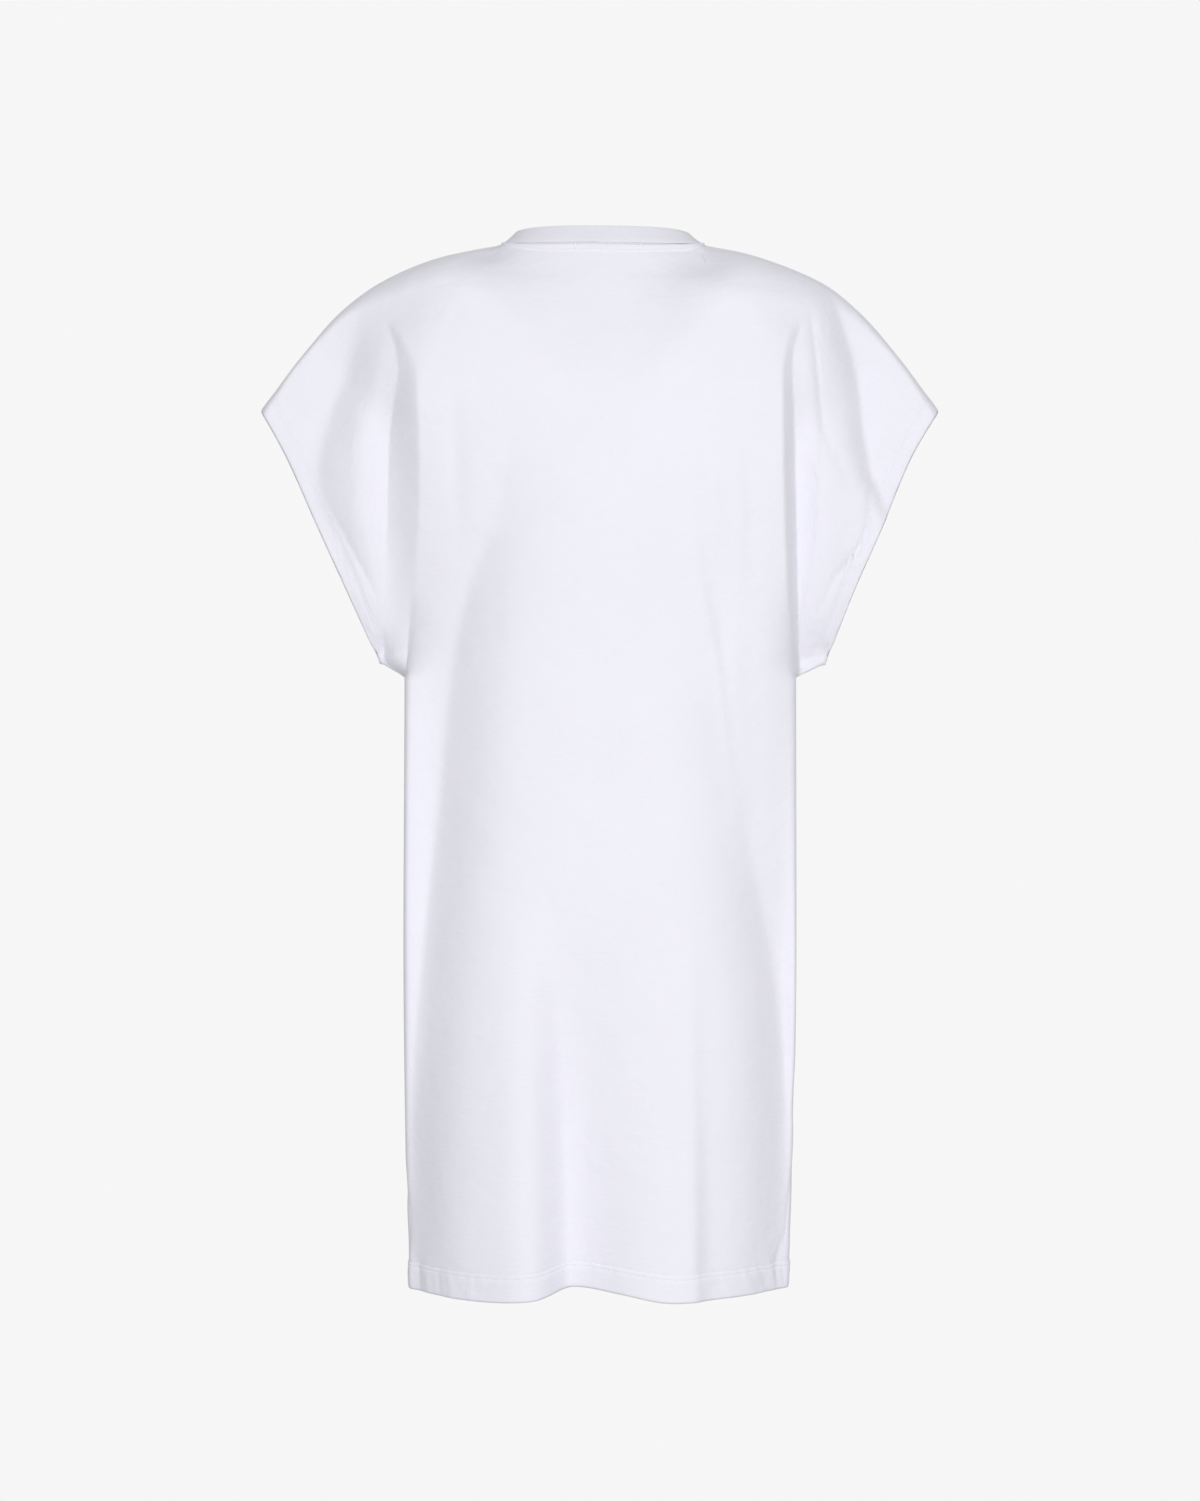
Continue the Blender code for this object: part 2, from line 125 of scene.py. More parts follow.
# Above the underarm the body ends in a wall of cloth that falls away to the sleeve: where its foot is
# on each side and how wide it is. Toward the shoulder the fall is shared with a soft slope, and the
# last values are the wall's share of it, where the slope begins and ends, the sleeve's half depth, and
# the share of the middle's depth that the body still has at the wall.
ARM_SECTIONS = (
    # place,            height, left, right, left wall, right wall, share, from,  to, sleeve, shoulder
    ("underarm",        -369.5, 183.0, 171.0,      18.0,        7.0,  1.00, 140, 190,    0.5,     0.56),
    ("web",             -355.0, 185.0, 170.0,      21.0,        7.0,  1.00, 140, 190,    3.5,     0.58),
    ("web, high",       -340.0, 184.5, 169.0,      22.0,        7.0,  1.00, 140, 190,   12.0,     0.64),
    ("above underarm",  -320.0, 183.5, 168.0,      22.5,        7.5,  1.00, 140, 190,   22.5,     0.71),
    ("bust, low",       -300.0, 183.0, 167.0,      24.0,        8.5,  1.00, 140, 190,   30.0,     0.76),
    ("bust, middle",    -265.0, 181.5, 166.5,      27.0,       10.5,  1.00, 140, 190,   38.0,     0.81),
    ("bust",            -220.0, 180.0, 165.5,      28.5,       11.5,  0.96, 140, 190,   45.0,     0.86),
    ("shoulder blades", -170.0, 178.0, 164.0,      26.5,       11.0,  0.78, 150, 195,   50.0,     0.89),
    ("arm hollow",      -138.0, 173.5, 162.5,      21.0,       10.0,  0.46, 150, 205,   50.0,     0.91),
    ("arm hollow top",  -112.0, 169.0, 161.0,      14.5,        8.5,  0.24, 146, 225,   48.0,     0.92),
    ("hook",             -93.0, 171.5, 162.5,       9.0,        6.5,  0.16, 140, 240,   44.0,     0.92),
    ("hook, high",       -80.0, 176.0, 166.5,       6.0,        5.0,  0.13, 134, 242,   42.0,     0.92),
    ("hook end",         -66.0, 182.0, 171.5,       4.0,        3.5,  0.00, 124, 246,   41.0,     0.93),
    ("shoulder",         -40.0, 186.0, 174.0,       4.0,        3.0,  0.00, 104, 258,   38.0,     0.95),
)

# How late the back curves away toward the wall, how straight the wall falls, by what share of the rise
# the arm's form has taken over from the underarm's, how close to the edge the wall may begin, how late the
# sleeve closes toward its edge on each side, and the least half depth away from a seam
SHOULDER_CURVE = 2.6
WALL_STRAIGHT = 0.75
ARM_FORM_BY = 0.25
WALL_TO_EDGE = 7.0 * MM
SLEEVE_SIDE_FADE = (9, 22)
LEAST_DEPTH = 3.0 * MM
UNDERARM_BLEND = 0.8  # over how many rows the shelves leave the sleeve, above the underarm

# How the cloth turns over from the overarm seam and the neckline to its full depth: over what height,
# and how sharply (0.5 is a round shoulder, 1 a slope), on the left and on the right. The neck's round
# form spreads as it goes down.
NECK_SPREAD = 1.2
NECK_MELTS = 1.3
NECK_MELTS_OVER = 30.0 * MM
TOP_TURN = (
    # place,     distance from the middle, left height, sharpness, right height, sharpness
    ("neck",              0.0,       145.0,      1.20,        145.0,      1.20),
    ("neck, near",       20.0,       145.0,      1.20,        145.0,      1.20),
    ("neck side",        50.0,       124.0,      1.05,        128.0,      1.05),
    ("neck point",       80.0,        84.0,      0.78,         88.0,      0.74),
    ("shoulder",        110.0,        50.0,      0.57,         55.0,      0.57),
    ("shoulder end",    150.0,        28.0,      0.50,         40.0,      0.50),
    ("top of the arm",  190.0,        22.0,      0.50,         33.0,      0.50),
    ("sleeve, high",    222.0,        12.0,      0.50,         16.0,      0.50),
    ("sleeve, low",     256.0,         8.0,      0.52,         10.0,      0.52),
    ("sleeve tip",      290.0,        15.0,      0.55,         19.0,      0.60),
)

# Where the columns run: the column's number, and how far from the middle it is in the rows that end
# below the underarm, at it and above it
COLUMN_HEIGHTS = (-520.0, -369.5, -300.0)
COLUMN_LINES = (
    # line,          column, below, underarm, above
    ("middle",            0,   0.0,      0.0,   0.0),
    ("neck point",       10,  78.0,     96.0, 106.0),
    ("shoulder blade",   13, 108.0,    126.0, 134.0),
    ("arm hollow, in",   15, 127.0,    143.0, 150.0),
    ("arm hollow, out",  20, 154.0,    163.0, 179.0),
)

# Folds that run down the cloth: kind, width toward the middle and toward the side, then places along
# the line: height, x, and how far the cloth stands out there (or in, if negative). A "fold" is a soft
# ridge or trough, a "crease" is a sharp one, a "step" moves the cloth on its outer side, and a "shelf"
# is a step that stays on the body.
FOLDS = {
    "back": (
        ("left sleeve ridge", "fold", 14, 17,
         ((-60, 186, 0), (-110, 190, 4), (-160, 199, 7), (-220, 203, 7), (-270, 196, 5), (-345, 190, 0))),
        ("left sleeve step", "step", 17, 7,
         ((-42, 194, 0), (-70, 198, -5), (-103, 206, -12), (-152, 225, -19), (-195, 235, -19),
          (-222, 233, -15), (-250, 220, -8), (-300, 196, 0))),
        ("left sleeve line", "crease", 3, 2,
         ((-214, 235, 0), (-234, 225, -1.8), (-277, 202, -2.0), (-310, 187, 0))),
        ("right sleeve ridge", "fold", 12, 20,
         ((-60, -178, 0), (-110, -180, 4), (-180, -186, 7), (-250, -190, 6), (-345, -186, 0))),
        ("right sleeve crease", "crease", 3, 3,
         ((-58, -177, 0), (-81, -180, -2.2), (-111, -183, -3.0), (-157, -188, -2.4), (-186, -202, -1.4),
          (-215, -215, 0))),
        ("right sleeve step", "step", 12, 3,
         ((-30, -190, 0), (-55, -198, -12), (-81, -207, -21), (-114, -216, -26), (-156, -221, -27),
          (-195, -228, -25), (-215, -236, -20), (-250, -247, 0))),
        ("right sleeve line", "crease", 3, 2,
         ((-208, -229, 0), (-243, -228, -4.8), (-261, -220, -4.2), (-281, -203, -3.0), (-320, -184, 0))),
        ("left back shelf", "shelf", 44, 6,
         ((-140, 63, 0), (-189, 72, -8), (-231, 80, -17), (-270, 95, -27), (-302, 107, -34),
          (-350, 117, -40), (-399, 124, -45), (-474, 131, -50), (-557, 141, -54), (-682, 154, -54),
          (-750, 160, -50), (-905, 162, -40))),
        ("left hem ridge", "fold", 22, 24,
         ((-560, 70, 0), (-700, 68, 5), (-905, 66, 8))),
        ("right back shelf", "shelf", 42, 6,
         ((-205, -71, 0), (-254, -81, -7), (-302, -90, -13), (-367, -100, -20), (-431, -107, -26),
          (-500, -117, -32), (-608, -140, -45), (-690, -151, -45), (-760, -156, -41), (-905, -159, -32))),
        ("right back crease", "crease", 6, 4,
         ((-190, -72, 0), (-250, -80, 1.6), (-302, -87, 2.2), (-350, -97, 2.4), (-431, -107, 1.8),
          (-520, -118, 0))),
        ("hem valley", "fold", 46, 18,
         ((-540, 38, 0), (-600, 34, -6), (-650, 31, -13), (-760, 28, -24), (-905, 24, -33))),
        ("hem valley lip", "crease", 2, 2,
         ((-690, 29, 0), (-710, 28, -1.0), (-740, 28, -1.0), (-765, 28, 0))),
        ("right hem step", "step", 4, 8,
         ((-550, -79, 0), (-620, -80, -2.5), (-720, -81, -6), (-800, -82, -10), (-905, -83, -14))),
        ("right side drape", "fold", 9, 9,
         ((-300, -112, 0), (-380, -113, 2.2), (-470, -118, 1.6), (-560, -124, 0))),
        ("right blade drape", "fold", 10, 8,
         ((-130, -88, 0), (-210, -94, 2.0), (-290, -100, 0))),
        ("right arm drape", "fold", 7, 9,
         ((-150, -126, 0), (-230, -127, -2.2), (-320, -128, 0))),
        ("left blade hollow", "fold", 9, 9,
         ((-130, 124, 0), (-185, 121, -2.4), (-260, 118, 0))),
    ),
    "front": (
        ("left sleeve ridge", "fold", 13, 16,
         ((-60, 182, 0), (-150, 192, 6), (-230, 197, 7), (-345, 190, 0))),
        ("left sleeve step", "step", 16, 8,
         ((-45, 195, 0), (-110, 211, -10), (-190, 229, -16), (-240, 226, -8), (-300, 200, 0))),
        ("right sleeve ridge", "fold", 12, 18,
         ((-60, -180, 0), (-150, -188, 6), (-240, -192, 7), (-345, -187, 0))),
        ("right sleeve step", "step", 16, 7,
         ((-45, -194, 0), (-100, -210, -11), (-180, -226, -16), (-235, -233, -9), (-280, -236, 0))),
        ("left front shelf", "shelf", 34, 8,
         ((-290, 96, 0), (-520, 122, -24), (-905, 152, -20))),
        ("right front shelf", "shelf", 34, 8,
         ((-300, -92, 0), (-540, -120, -21), (-905, -153, -20))),
        ("left front drape", "fold", 18, 24,
         ((-260, 70, 0), (-560, 64, -9), (-905, 58, -17))),
        ("right front drape", "fold", 24, 18,
         ((-270, -62, 0), (-600, -58, -10), (-905, -50, -18))),
        ("left hem crease", "crease", 4, 8,
         ((-660, 92, 0), (-780, 96, 2.2), (-905, 98, 4.0))),
        ("right hem crease", "crease", 7, 4,
         ((-700, -96, 0), (-800, -99, 2.0), (-905, -102, 3.4))),
    ),
}

# Fine lines that run up to the very edge, by the same rule: the side seams, which wander off it
FINE_LINES = {
    "back": (
        ("right seam", "crease", 2, 2,
         ((-690, -167, 0), (-736, -164.5, -1.2), (-761, -166, -0.7), (-817, -160, -1.5), (-845, -158, -1.7),
          (-857, -152, -1.7), (-872, -149.5, -1.4), (-895, -149, -0.4))),
        ("left seam", "crease", 2, 2,
         ((-780, 166.5, 0), (-802, 165.5, -1.2), (-826, 161.5, -1.4), (-846, 162.3, -1.3), (-880, 163, 0))),
    ),
    "front": (
        ("left seam", "crease", 2, 2,
         ((-740, 166.5, 0), (-800, 163.5, -1.2), (-890, 161, 0))),
    ),
}

# A crease's roundness, and its root, which keeps the crease at its full height
CREASE_ROUND = 0.15
CREASE_TOP = 0.387

# How late the folds die away toward the left and the right edge, and how late near the hem, from what
# height and over how much; and over what share of the cuff the sleeve's edge opens
FOLD_SIDE_FADE = (12, 24)
HEM_SIDE_FADE = 20
SIDE_FADE_FROM = -640 * MM
SIDE_FADE_OVER = 140 * MM
SLEEVE_EDGE_OPENS = 0.07

# Small wrinkles: a short line from one place to another (x, z), how far the cloth stands out, and the
# width
WRINKLES = {
    "back": (
        ("right waist, high",   -117, -326, -150, -322,  0.9,  3.0),
        ("right waist, low",    -122, -338, -158, -350,  1.0,  4.0),
        ("right waist, lowest", -135, -356, -164, -362, -0.9,  4.0),
        ("right neck hollow",    -52,   -9, -124,  -23, -6.0, 15.0),
        ("left neck hollow",      62,   -6,  126,  -15, -3.0, 10.0),
        ("under the tacks",       30,   -9,  -40,   -8,  0.7,  2.5),
        ("left seam nick",       150, -697,  166, -694, -1.2,  2.5),
        ("right seam nick",     -150, -698, -166, -695, -1.2,  2.5),
        ("left seam nick, low",  152, -748,  166, -744, -1.0,  2.5),
        ("left seam nick, hem",  153, -770,  166, -768, -0.9,  2.5),
        ("left hem pucker",      161, -846,  158, -906,  1.4,  2.2),
        ("left hem pucker 2",    154, -858,  151, -904, -1.2,  2.0),
        ("left hem pucker 3",    146, -852,  143, -908,  1.3,  3.0),
        ("left hem pucker 4",    135, -864,  134, -902, -1.0,  1.9),
        ("left hem pucker 5",    128, -860,  120, -908,  1.0,  2.6),
        ("left hem pucker 6",    112, -866,  104, -904,  0.8,  2.0),
        ("right hem pucker",    -117, -860, -133, -904,  1.1,  2.2),
        ("right hem pucker 2",  -130, -856, -144, -900, -1.1,  1.9),
        ("right hem pucker 3",  -138, -850, -151, -904,  1.3,  2.6),
        ("right hem pucker 4",  -151, -856, -160, -900, -1.0,  2.0),
        ("right hem pucker 5",   -96, -864, -106, -904, -0.8,  2.4),
    ),
    "front": (
        ("left waist",           124, -334,  156, -342,  0.9,  3.5),
        ("right waist",         -126, -330, -158, -340,  0.9,  3.5),
        ("left seam nick",       150, -702,  166, -699, -1.1,  2.5),
        ("right seam nick",     -150, -690, -166, -687, -1.1,  2.5),
        ("left hem pucker",      150, -864,  148, -886,  0.8,  2.6),
        ("right hem pucker",    -148, -864, -151, -886,  0.8,  2.6),
    ),
}
WRINKLES_START = 8.0 * MM  # how far below the overarm seam they have their full height

# The overarm seam shows on the back as a line a little below the edge: x from, x to, distance
SEAM_LINES = (
    ("right shoulder seam", -290.0, -86.0, 3.0),
    ("left shoulder seam",    84.0, 128.0, 2.0),
)
SEAM_LINE_WIDTH = 1.1 * MM
SEAM_LINE_DEPTH = 1.1 * MM
SEAM_LINE_FADE = 6  # millimetres at each end

# Sewing: the strip over the back neck seam, with its section and the groove above it, the rows of
# stitches by their distance from the edge, the grooves they lie in, the ripples they pull into the cloth
# and the tacks
STRIP_WIDTH = 8.0 * MM
STRIP_FROM = 1.7 * MM
STRIP_GROOVE = 0.9 * MM
STRIP_GROOVE_AT = 0.9 * MM
STRIP_GROOVE_WIDTH = 0.7 * MM
STRIP_THICKNESS = 0.9 * MM
NECK_FADE = 0.6  # of a column, over which the groove ends at the neck points
STRIP_PROFILE = (
    # share of the strip's width, share of its thickness
    (0.00, -0.4),
    (0.02, 0.6),
    (0.07, 1.0),
    (0.25, 1.05),
    (0.50, 1.0),
    (0.75, 1.0),
    (0.90, 1.0),
    (0.98, 0.7),
    (1.00, -0.4),
)
HEM_ROWS = (18.2 * MM, 21.6 * MM)
CUFF_ROWS = (12.0 * MM, 15.0 * MM)
STITCH_LENGTH = 2.6 * MM
STITCH_STEP = 3.1 * MM
STITCH_RADIUS = 0.42 * MM
STITCH_LIFT = 0.05 * MM
STITCH_PROFILE = (
    # place as a share of half the length, width and lift as shares of the radius
    (-1.0, 0.25, -0.9),
    (-0.8, 0.90, 0.0),
    (0.0, 1.00, 0.5),
    (0.8, 0.90, 0.0),
    (1.0, 0.25, -0.9),
)
STITCH_GROOVE = 0.7 * MM
STITCH_GROOVE_WIDTH = 0.9 * MM
CUFF_GROOVE_WIDTH = 1.3 * MM
CUFF_GROOVE_FROM = -175 * MM
CUFF_GROOVE_OVER = 60 * MM
CUFF_STITCH_RADIUS = 0.22 * MM
STITCH_PULL = 0.3 * MM
RIPPLE = 2.3 * MM
RIPPLE_SWELL = 5.9 * MM
RIPPLE_FINE = 1.3 * MM
RIPPLE_REACH = 5 * MM
TURNED_RAISED = 0.9 * MM
HEM_STEP_SOFT = 1.0 * MM
CUFF_STEP_SOFT = 3.0 * MM
CUFF_RAISED_SHARE = 0.5
TACKS_AT = (21.0 * MM, -35.0 * MM)
TACK_LENGTH = 5.5 * MM
TACK_RADIUS = 0.8 * MM

# The neckband: its width and thickness, how far it leans in from upright in degrees and over what
# distance the lean goes from the front's to the back's, how far it starts below the neckline, and over
# how many points round the ring its rim is softened
BAND_WIDTH = 16.0 * MM
BAND_THICKNESS = 2.3 * MM
BAND_LEAN = {"back": 22.0, "side": 50.0, "front": 36.0}
BAND_LEAN_OVER = 60 * MM
BAND_OVERLAP = 0.4 * MM
RIM_REACH = 16
BAND_ROWS = (
    # share of the lean reached, length of the row as a share of the band
    (0.0, 0.06),
    (0.2, 0.07),
    (0.45, 0.10),
    (0.7, 0.14),
    (0.9, 0.19),
    (1.0, 0.22),
    (1.0, 0.22),
)

# The fine grid: the heights of its rows at the turned hem in millimetres, the places across a turned
# margin as shares of its width, and how many rows or columns a nudge is
HEM_GRID = (0, 1, 3, 7, 11, 15, 16.4, 17.3, 18.2, 19.1, 19.9, 20.7, 21.6, 22.5, 23.5, 25, 28, 32)
MARGIN_SHARES = (0.0, 0.08, 0.3, 0.55, 0.8, 1.0)
NUDGE = 0.02

# Colours and finish. The cloth's colour goes from darker to lighter in blotches, and a wave texture has
# this length at a scale of 1
COTTON = (0.845, 0.84, 0.915)
TAPE_COTTON = (0.862, 0.857, 0.932)
THREAD_COTTON = (0.93, 0.925, 0.985)
FINE_THREAD_COTTON = (0.83, 0.825, 0.90)
DARKER = 0.965
LIGHTER = 1.02
KNIT_ROUGHNESS = 0.88
WAVE_LENGTH = 0.314

# Camera, floor and light: places in metres, the lens and its sensor in millimetres
CAMERA_AT = (0.0, 3.5, -0.432)
LENS = 97.6
SENSOR = 36.0
FLOOR_HEIGHT = -1.42
FLOOR_RINGS = (0.6, 1.2, 1.7)
FLOOR_SIDES = 64
FLOOR_COLOUR = (0.70, 0.70, 0.70)
SURROUND_COLOUR = (0.924, 0.924, 0.924, 1)
LIGHT_ABOVE = 0.59
LIGHT_BELOW = 0.50
LIGHTS = (
    # name, place, turned toward, width, power
    ("key", (-0.34, 3.5, -0.05), (0, 0, -0.30), 1.2, 60.0),
    ("front_fill", (0.6, -4.2, 0.2), (0, 0, -0.45), 2.0, 60.0),
)


def column_of(table, place, scale=MM):
    """One column of a table, as an array in metres."""
    return np.array([row[place] for row in table]) * scale


def through(at, stations, values):
    """A smooth curve through a table's points that never overshoots them (monotone cubic)."""
    order = np.argsort(stations)
    x, y = np.asarray(stations, float)[order], np.asarray(values, float)[order]
    step = np.diff(x)
    slope = np.diff(y) / step
    tangent = np.concatenate((slope[:1], np.zeros(len(x) - 2), slope[-1:]))
    same_way = slope[:-1] * slope[1:] > 0
    heavy, light = 2 * step[1:] + step[:-1], step[1:] + 2 * step[:-1]
    before, after = np.where(same_way, slope[:-1], 1.0), np.where(same_way, slope[1:], 1.0)
    tangent[1:-1] = np.where(same_way, (heavy + light) / (heavy / before + light / after), 0.0)
    at = np.clip(np.asarray(at, float), x[0], x[-1])
    k = np.clip(np.searchsorted(x, at, side="right") - 1, 0, len(step) - 1)
    u = (at - x[k]) / step[k]
    return ((1 + 2 * u) * (1 - u) ** 2 * y[k] + u * (1 - u) ** 2 * step[k] * tangent[k]
            + u * u * (3 - 2 * u) * y[k + 1] + u * u * (u - 1) * step[k] * tangent[k + 1])


def smooth_step(q):
    """0 below 0, 1 above 1, with a level start and end."""
    q = np.clip(q, 0.0, 1.0)
    return q * q * (3 - 2 * q)


def bell(distance, width):
    """1 in the middle and 0 far away: the exponential of minus the square of distance over width."""
    return np.exp(-(distance / width) ** 2)


def at_height(z, table, place, scale=MM):
    """A column of a table of sections, at each height."""
    return through(z, column_of(table, 1), column_of(table, place, scale))


def by_side(x, left, right):
    """One value or the other, by the side of the body that a point is on."""
    return np.where(x >= 0, left, right)


def row_at(height):
    """The row that runs at a height above the hem's level, up to the underarm."""
    return height / (UNDERARM_HEIGHT - HEM_HEIGHT) * UNDERARM_ROW


def height_at(row):
    """How far above the hem's level a row runs, up to the underarm."""
    return row * (UNDERARM_HEIGHT - HEM_HEIGHT) / UNDERARM_ROW


def unit(vectors):
    """Vectors divided by their lengths."""
    return vectors / np.maximum(np.linalg.norm(vectors, axis=-1, keepdims=True), 1e-12)


# ---------------------------------------------------------------------------------------------------
# The surface of a panel


def row_end(row, left):
    """Where a row ends: straight up the side seam, along the underarm seam, then up the cuff. The last
    value is how far along the cuff the row is."""
    up_seam = HEM_HEIGHT + (UNDERARM_HEIGHT - HEM_HEIGHT) * np.clip(row / UNDERARM_ROW, 0, 1)
    seam_x = at_height(up_seam, BODY_SECTIONS, 2 if left else 3) * (1 if left else -1)
    corner = np.array(CUFF_EDGE[0][1:3] if left else CUFF_EDGE[0][3:5]) * MM
    web = np.clip((row - UNDERARM_ROW) / (CUFF_ROW - UNDERARM_ROW), 0, 1)
    share = 1 - (1 - np.clip((row - CUFF_ROW) / (TOP_ROW - CUFF_ROW), 0, 1)) ** CUFF_ROWS_CLOSER
    stations = np.linspace(0, 1, len(CUFF_EDGE))
    cuff_x = through(share, stations, column_of(CUFF_EDGE, 1 if left else 3))
    cuff_z = through(share, stations, column_of(CUFF_EDGE, 2 if left else 4))
    x = np.where(row > CUFF_ROW, cuff_x, seam_x + (corner[0] - seam_x) * web)
    z = np.where(row > CUFF_ROW, cuff_z, up_seam + (corner[1] - up_seam) * web)
    return x, z, share


def neck_turn(column):
    """Angle of each column round the neck: 0 in the middle, a right angle at the neck point."""
    out = np.clip(np.abs(column) / NECK_COLUMN, 0, 1)
    return (1 - (1 - out) ** NECK_CLOSER) * np.pi / 2


def column_places(column, rise, edge_x, edge_z):
    """Distance from the middle, for rows that end at the given places: the tables' lines, which close
    in on the neckline near the top and spread evenly over the sleeve."""
    lines = column_of(COLUMN_LINES, 1, 1.0)
    heights = np.array(COLUMN_HEIGHTS) * MM
    at_underarm = through(edge_z, heights, (0, 1, 0))
    upright = through(edge_z, heights, (0, 0, 1))

    def on_lines(out):
        body = through(out, lines, column_of(COLUMN_LINES, 2)) * (1 - at_underarm - upright)
        body = body + through(out, lines, column_of(COLUMN_LINES, 3)) * at_underarm
        return body + through(out, lines, column_of(COLUMN_LINES, 4)) * upright

    out = np.abs(column)
    body = on_lines(out)
    round_neck = by_side(column, OVERARM_SEAM[0][1], -OVERARM_SEAM[0][3]) * MM * np.sin(neck_turn(column))
    to_neck = np.clip((rise - NECK_FAN_FROM) / (1 - NECK_FAN_FROM), 0, 1) ** NECK_FAN
    fan = np.clip(NECK_COLUMN + 1 - out, 0, 1)
    body = np.where(out <= NECK_COLUMN + 1, body + (round_neck - body) * to_neck * fan, body)
    last = on_lines(np.full_like(out, BODY_COLUMN))
    spread = np.clip((out - BODY_COLUMN) / (EDGE_COLUMN - BODY_COLUMN), 0, 1)
    round_side = np.sin(spread * np.pi / 2)
    beyond = last + (edge_x - last) * (round_side + (spread - round_side) * upright)
    return np.where(out <= BODY_COLUMN, body, beyond)


def overarm_height(x):
    """Height of the overarm seam, which goes on level across the neck."""
    left = through(x, column_of(OVERARM_SEAM, 1), column_of(OVERARM_SEAM, 2))
    right = through(x, column_of(OVERARM_SEAM, 3), column_of(OVERARM_SEAM, 4))
    return by_side(x, left, right)


def body_depth(x, z, panel, half_width):
    """Half depth of the body's section: a squarish ellipse."""
    squareness = at_height(z, BODY_SECTIONS, 6, 1.0)
    out = np.clip(np.abs(x) / half_width, 0, 1)
    middle = at_height(z, BODY_SECTIONS, 4 if panel == "back" else 5)
    return middle * (1 - out ** squareness) ** (1 / squareness)


def arm_depth(x, z, panel, edge_x, arm_form, opens):
    """Half depth above the underarm: the body, which goes from the ellipse of the underarm to a gently
    curved back, then the wall and the soft slope at its side, each with its share of the fall to the
    flat sleeve. The second value is 1 on the body and 0 on the sleeve."""
    foot = by_side(x, at_height(z, ARM_SECTIONS, 2), at_height(z, ARM_SECTIONS, 3))
    width = by_side(x, at_height(z, ARM_SECTIONS, 4), at_height(z, ARM_SECTIONS, 5))
    share = at_height(z, ARM_SECTIONS, 6, 1.0)
    begins, ends = at_height(z, ARM_SECTIONS, 7), at_height(z, ARM_SECTIONS, 8)
    start = foot - width
    foot = np.minimum(foot, edge_x)
    start = np.minimum(start, foot - WALL_TO_EDGE)
    at_edge = np.clip(np.abs(x) / edge_x, 0, 1) ** by_side(x, *SLEEVE_SIDE_FADE)
    sleeve = at_height(z, ARM_SECTIONS, 9) * (1 - (1 - opens) * at_edge)
    shoulder = at_height(z, ARM_SECTIONS, 10, 1.0)
    edge = start * share + begins * (1 - share)
    reach = np.minimum(np.abs(x), start)
    low = body_depth(reach, z, panel, BODY_SECTIONS[4][2] * MM)
    bow = 1 - (1 - shoulder) * (np.abs(x) / edge) ** SHOULDER_CURVE
    high = at_height(z, BODY_SECTIONS, 4 if panel == "back" else 5) * np.clip(bow, 0, 1)
    body = low + (high - low) * arm_form
    down_wall = np.clip((np.abs(x) - start) / (foot - start), 0, 1)
    wall = WALL_STRAIGHT * down_wall + (1 - WALL_STRAIGHT) * down_wall ** 2
    slope = smooth_step((np.abs(x) - begins) / (ends - begins))
    on_body = 1 - share * wall - (1 - share) * slope
    return sleeve + (body - sleeve) * on_body, on_body


def lines_height(x, z, lines, on_body):
    """How far the lines of a table lift the cloth. Across its line, a fold is a bell, a crease a
    pointed bell, and a step or a shelf the rise of a hyperbolic tangent with a width of its own on each
    side. A shelf stays on the body."""
    total = np.zeros_like(x)
    for _, kind, inner, outer, places in lines:
        heights, line, stand = np.array(places, float).T * MM
        across = (x - through(z, heights, line)) * np.sign(line[0])
        width = np.where(across > 0, outer, inner) * MM
        height = through(z, heights, stand) * (z <= heights[0])
        if kind == "fold":
            total += height * bell(across, width)
        elif kind == "crease":
            total += height * np.exp(-np.sqrt((across / width) ** 2 + CREASE_ROUND) + CREASE_TOP)
        else:
            dropped = (inner * MM + width * np.tanh(across / width)) / ((inner + outer) * MM)
            total += height * dropped * (on_body if kind == "shelf" else 1.0)
    return total


def wrinkle_height(x, z, panel):
    """All small wrinkles together: a bell across the line, fading to its two ends and to the seam over
    the arm."""
    total = np.zeros_like(x)
    for _, x1, z1, x2, z2, height, width in WRINKLES[panel]:
        start, way = np.array((x1, z1)) * MM, np.array((x2 - x1, z2 - z1)) * MM
        length = np.hypot(*way)
        along = ((x - start[0]) * way[0] + (z - start[1]) * way[1]) / length ** 2
        across = ((x - start[0]) * way[1] - (z - start[1]) * way[0]) / length
        fades = np.sin(np.clip(along, 0, 1) * np.pi) ** 2
        total += height * MM * fades * bell(across, width * MM)
    return total * smooth_step((overarm_height(x) - z) / WRINKLES_START)


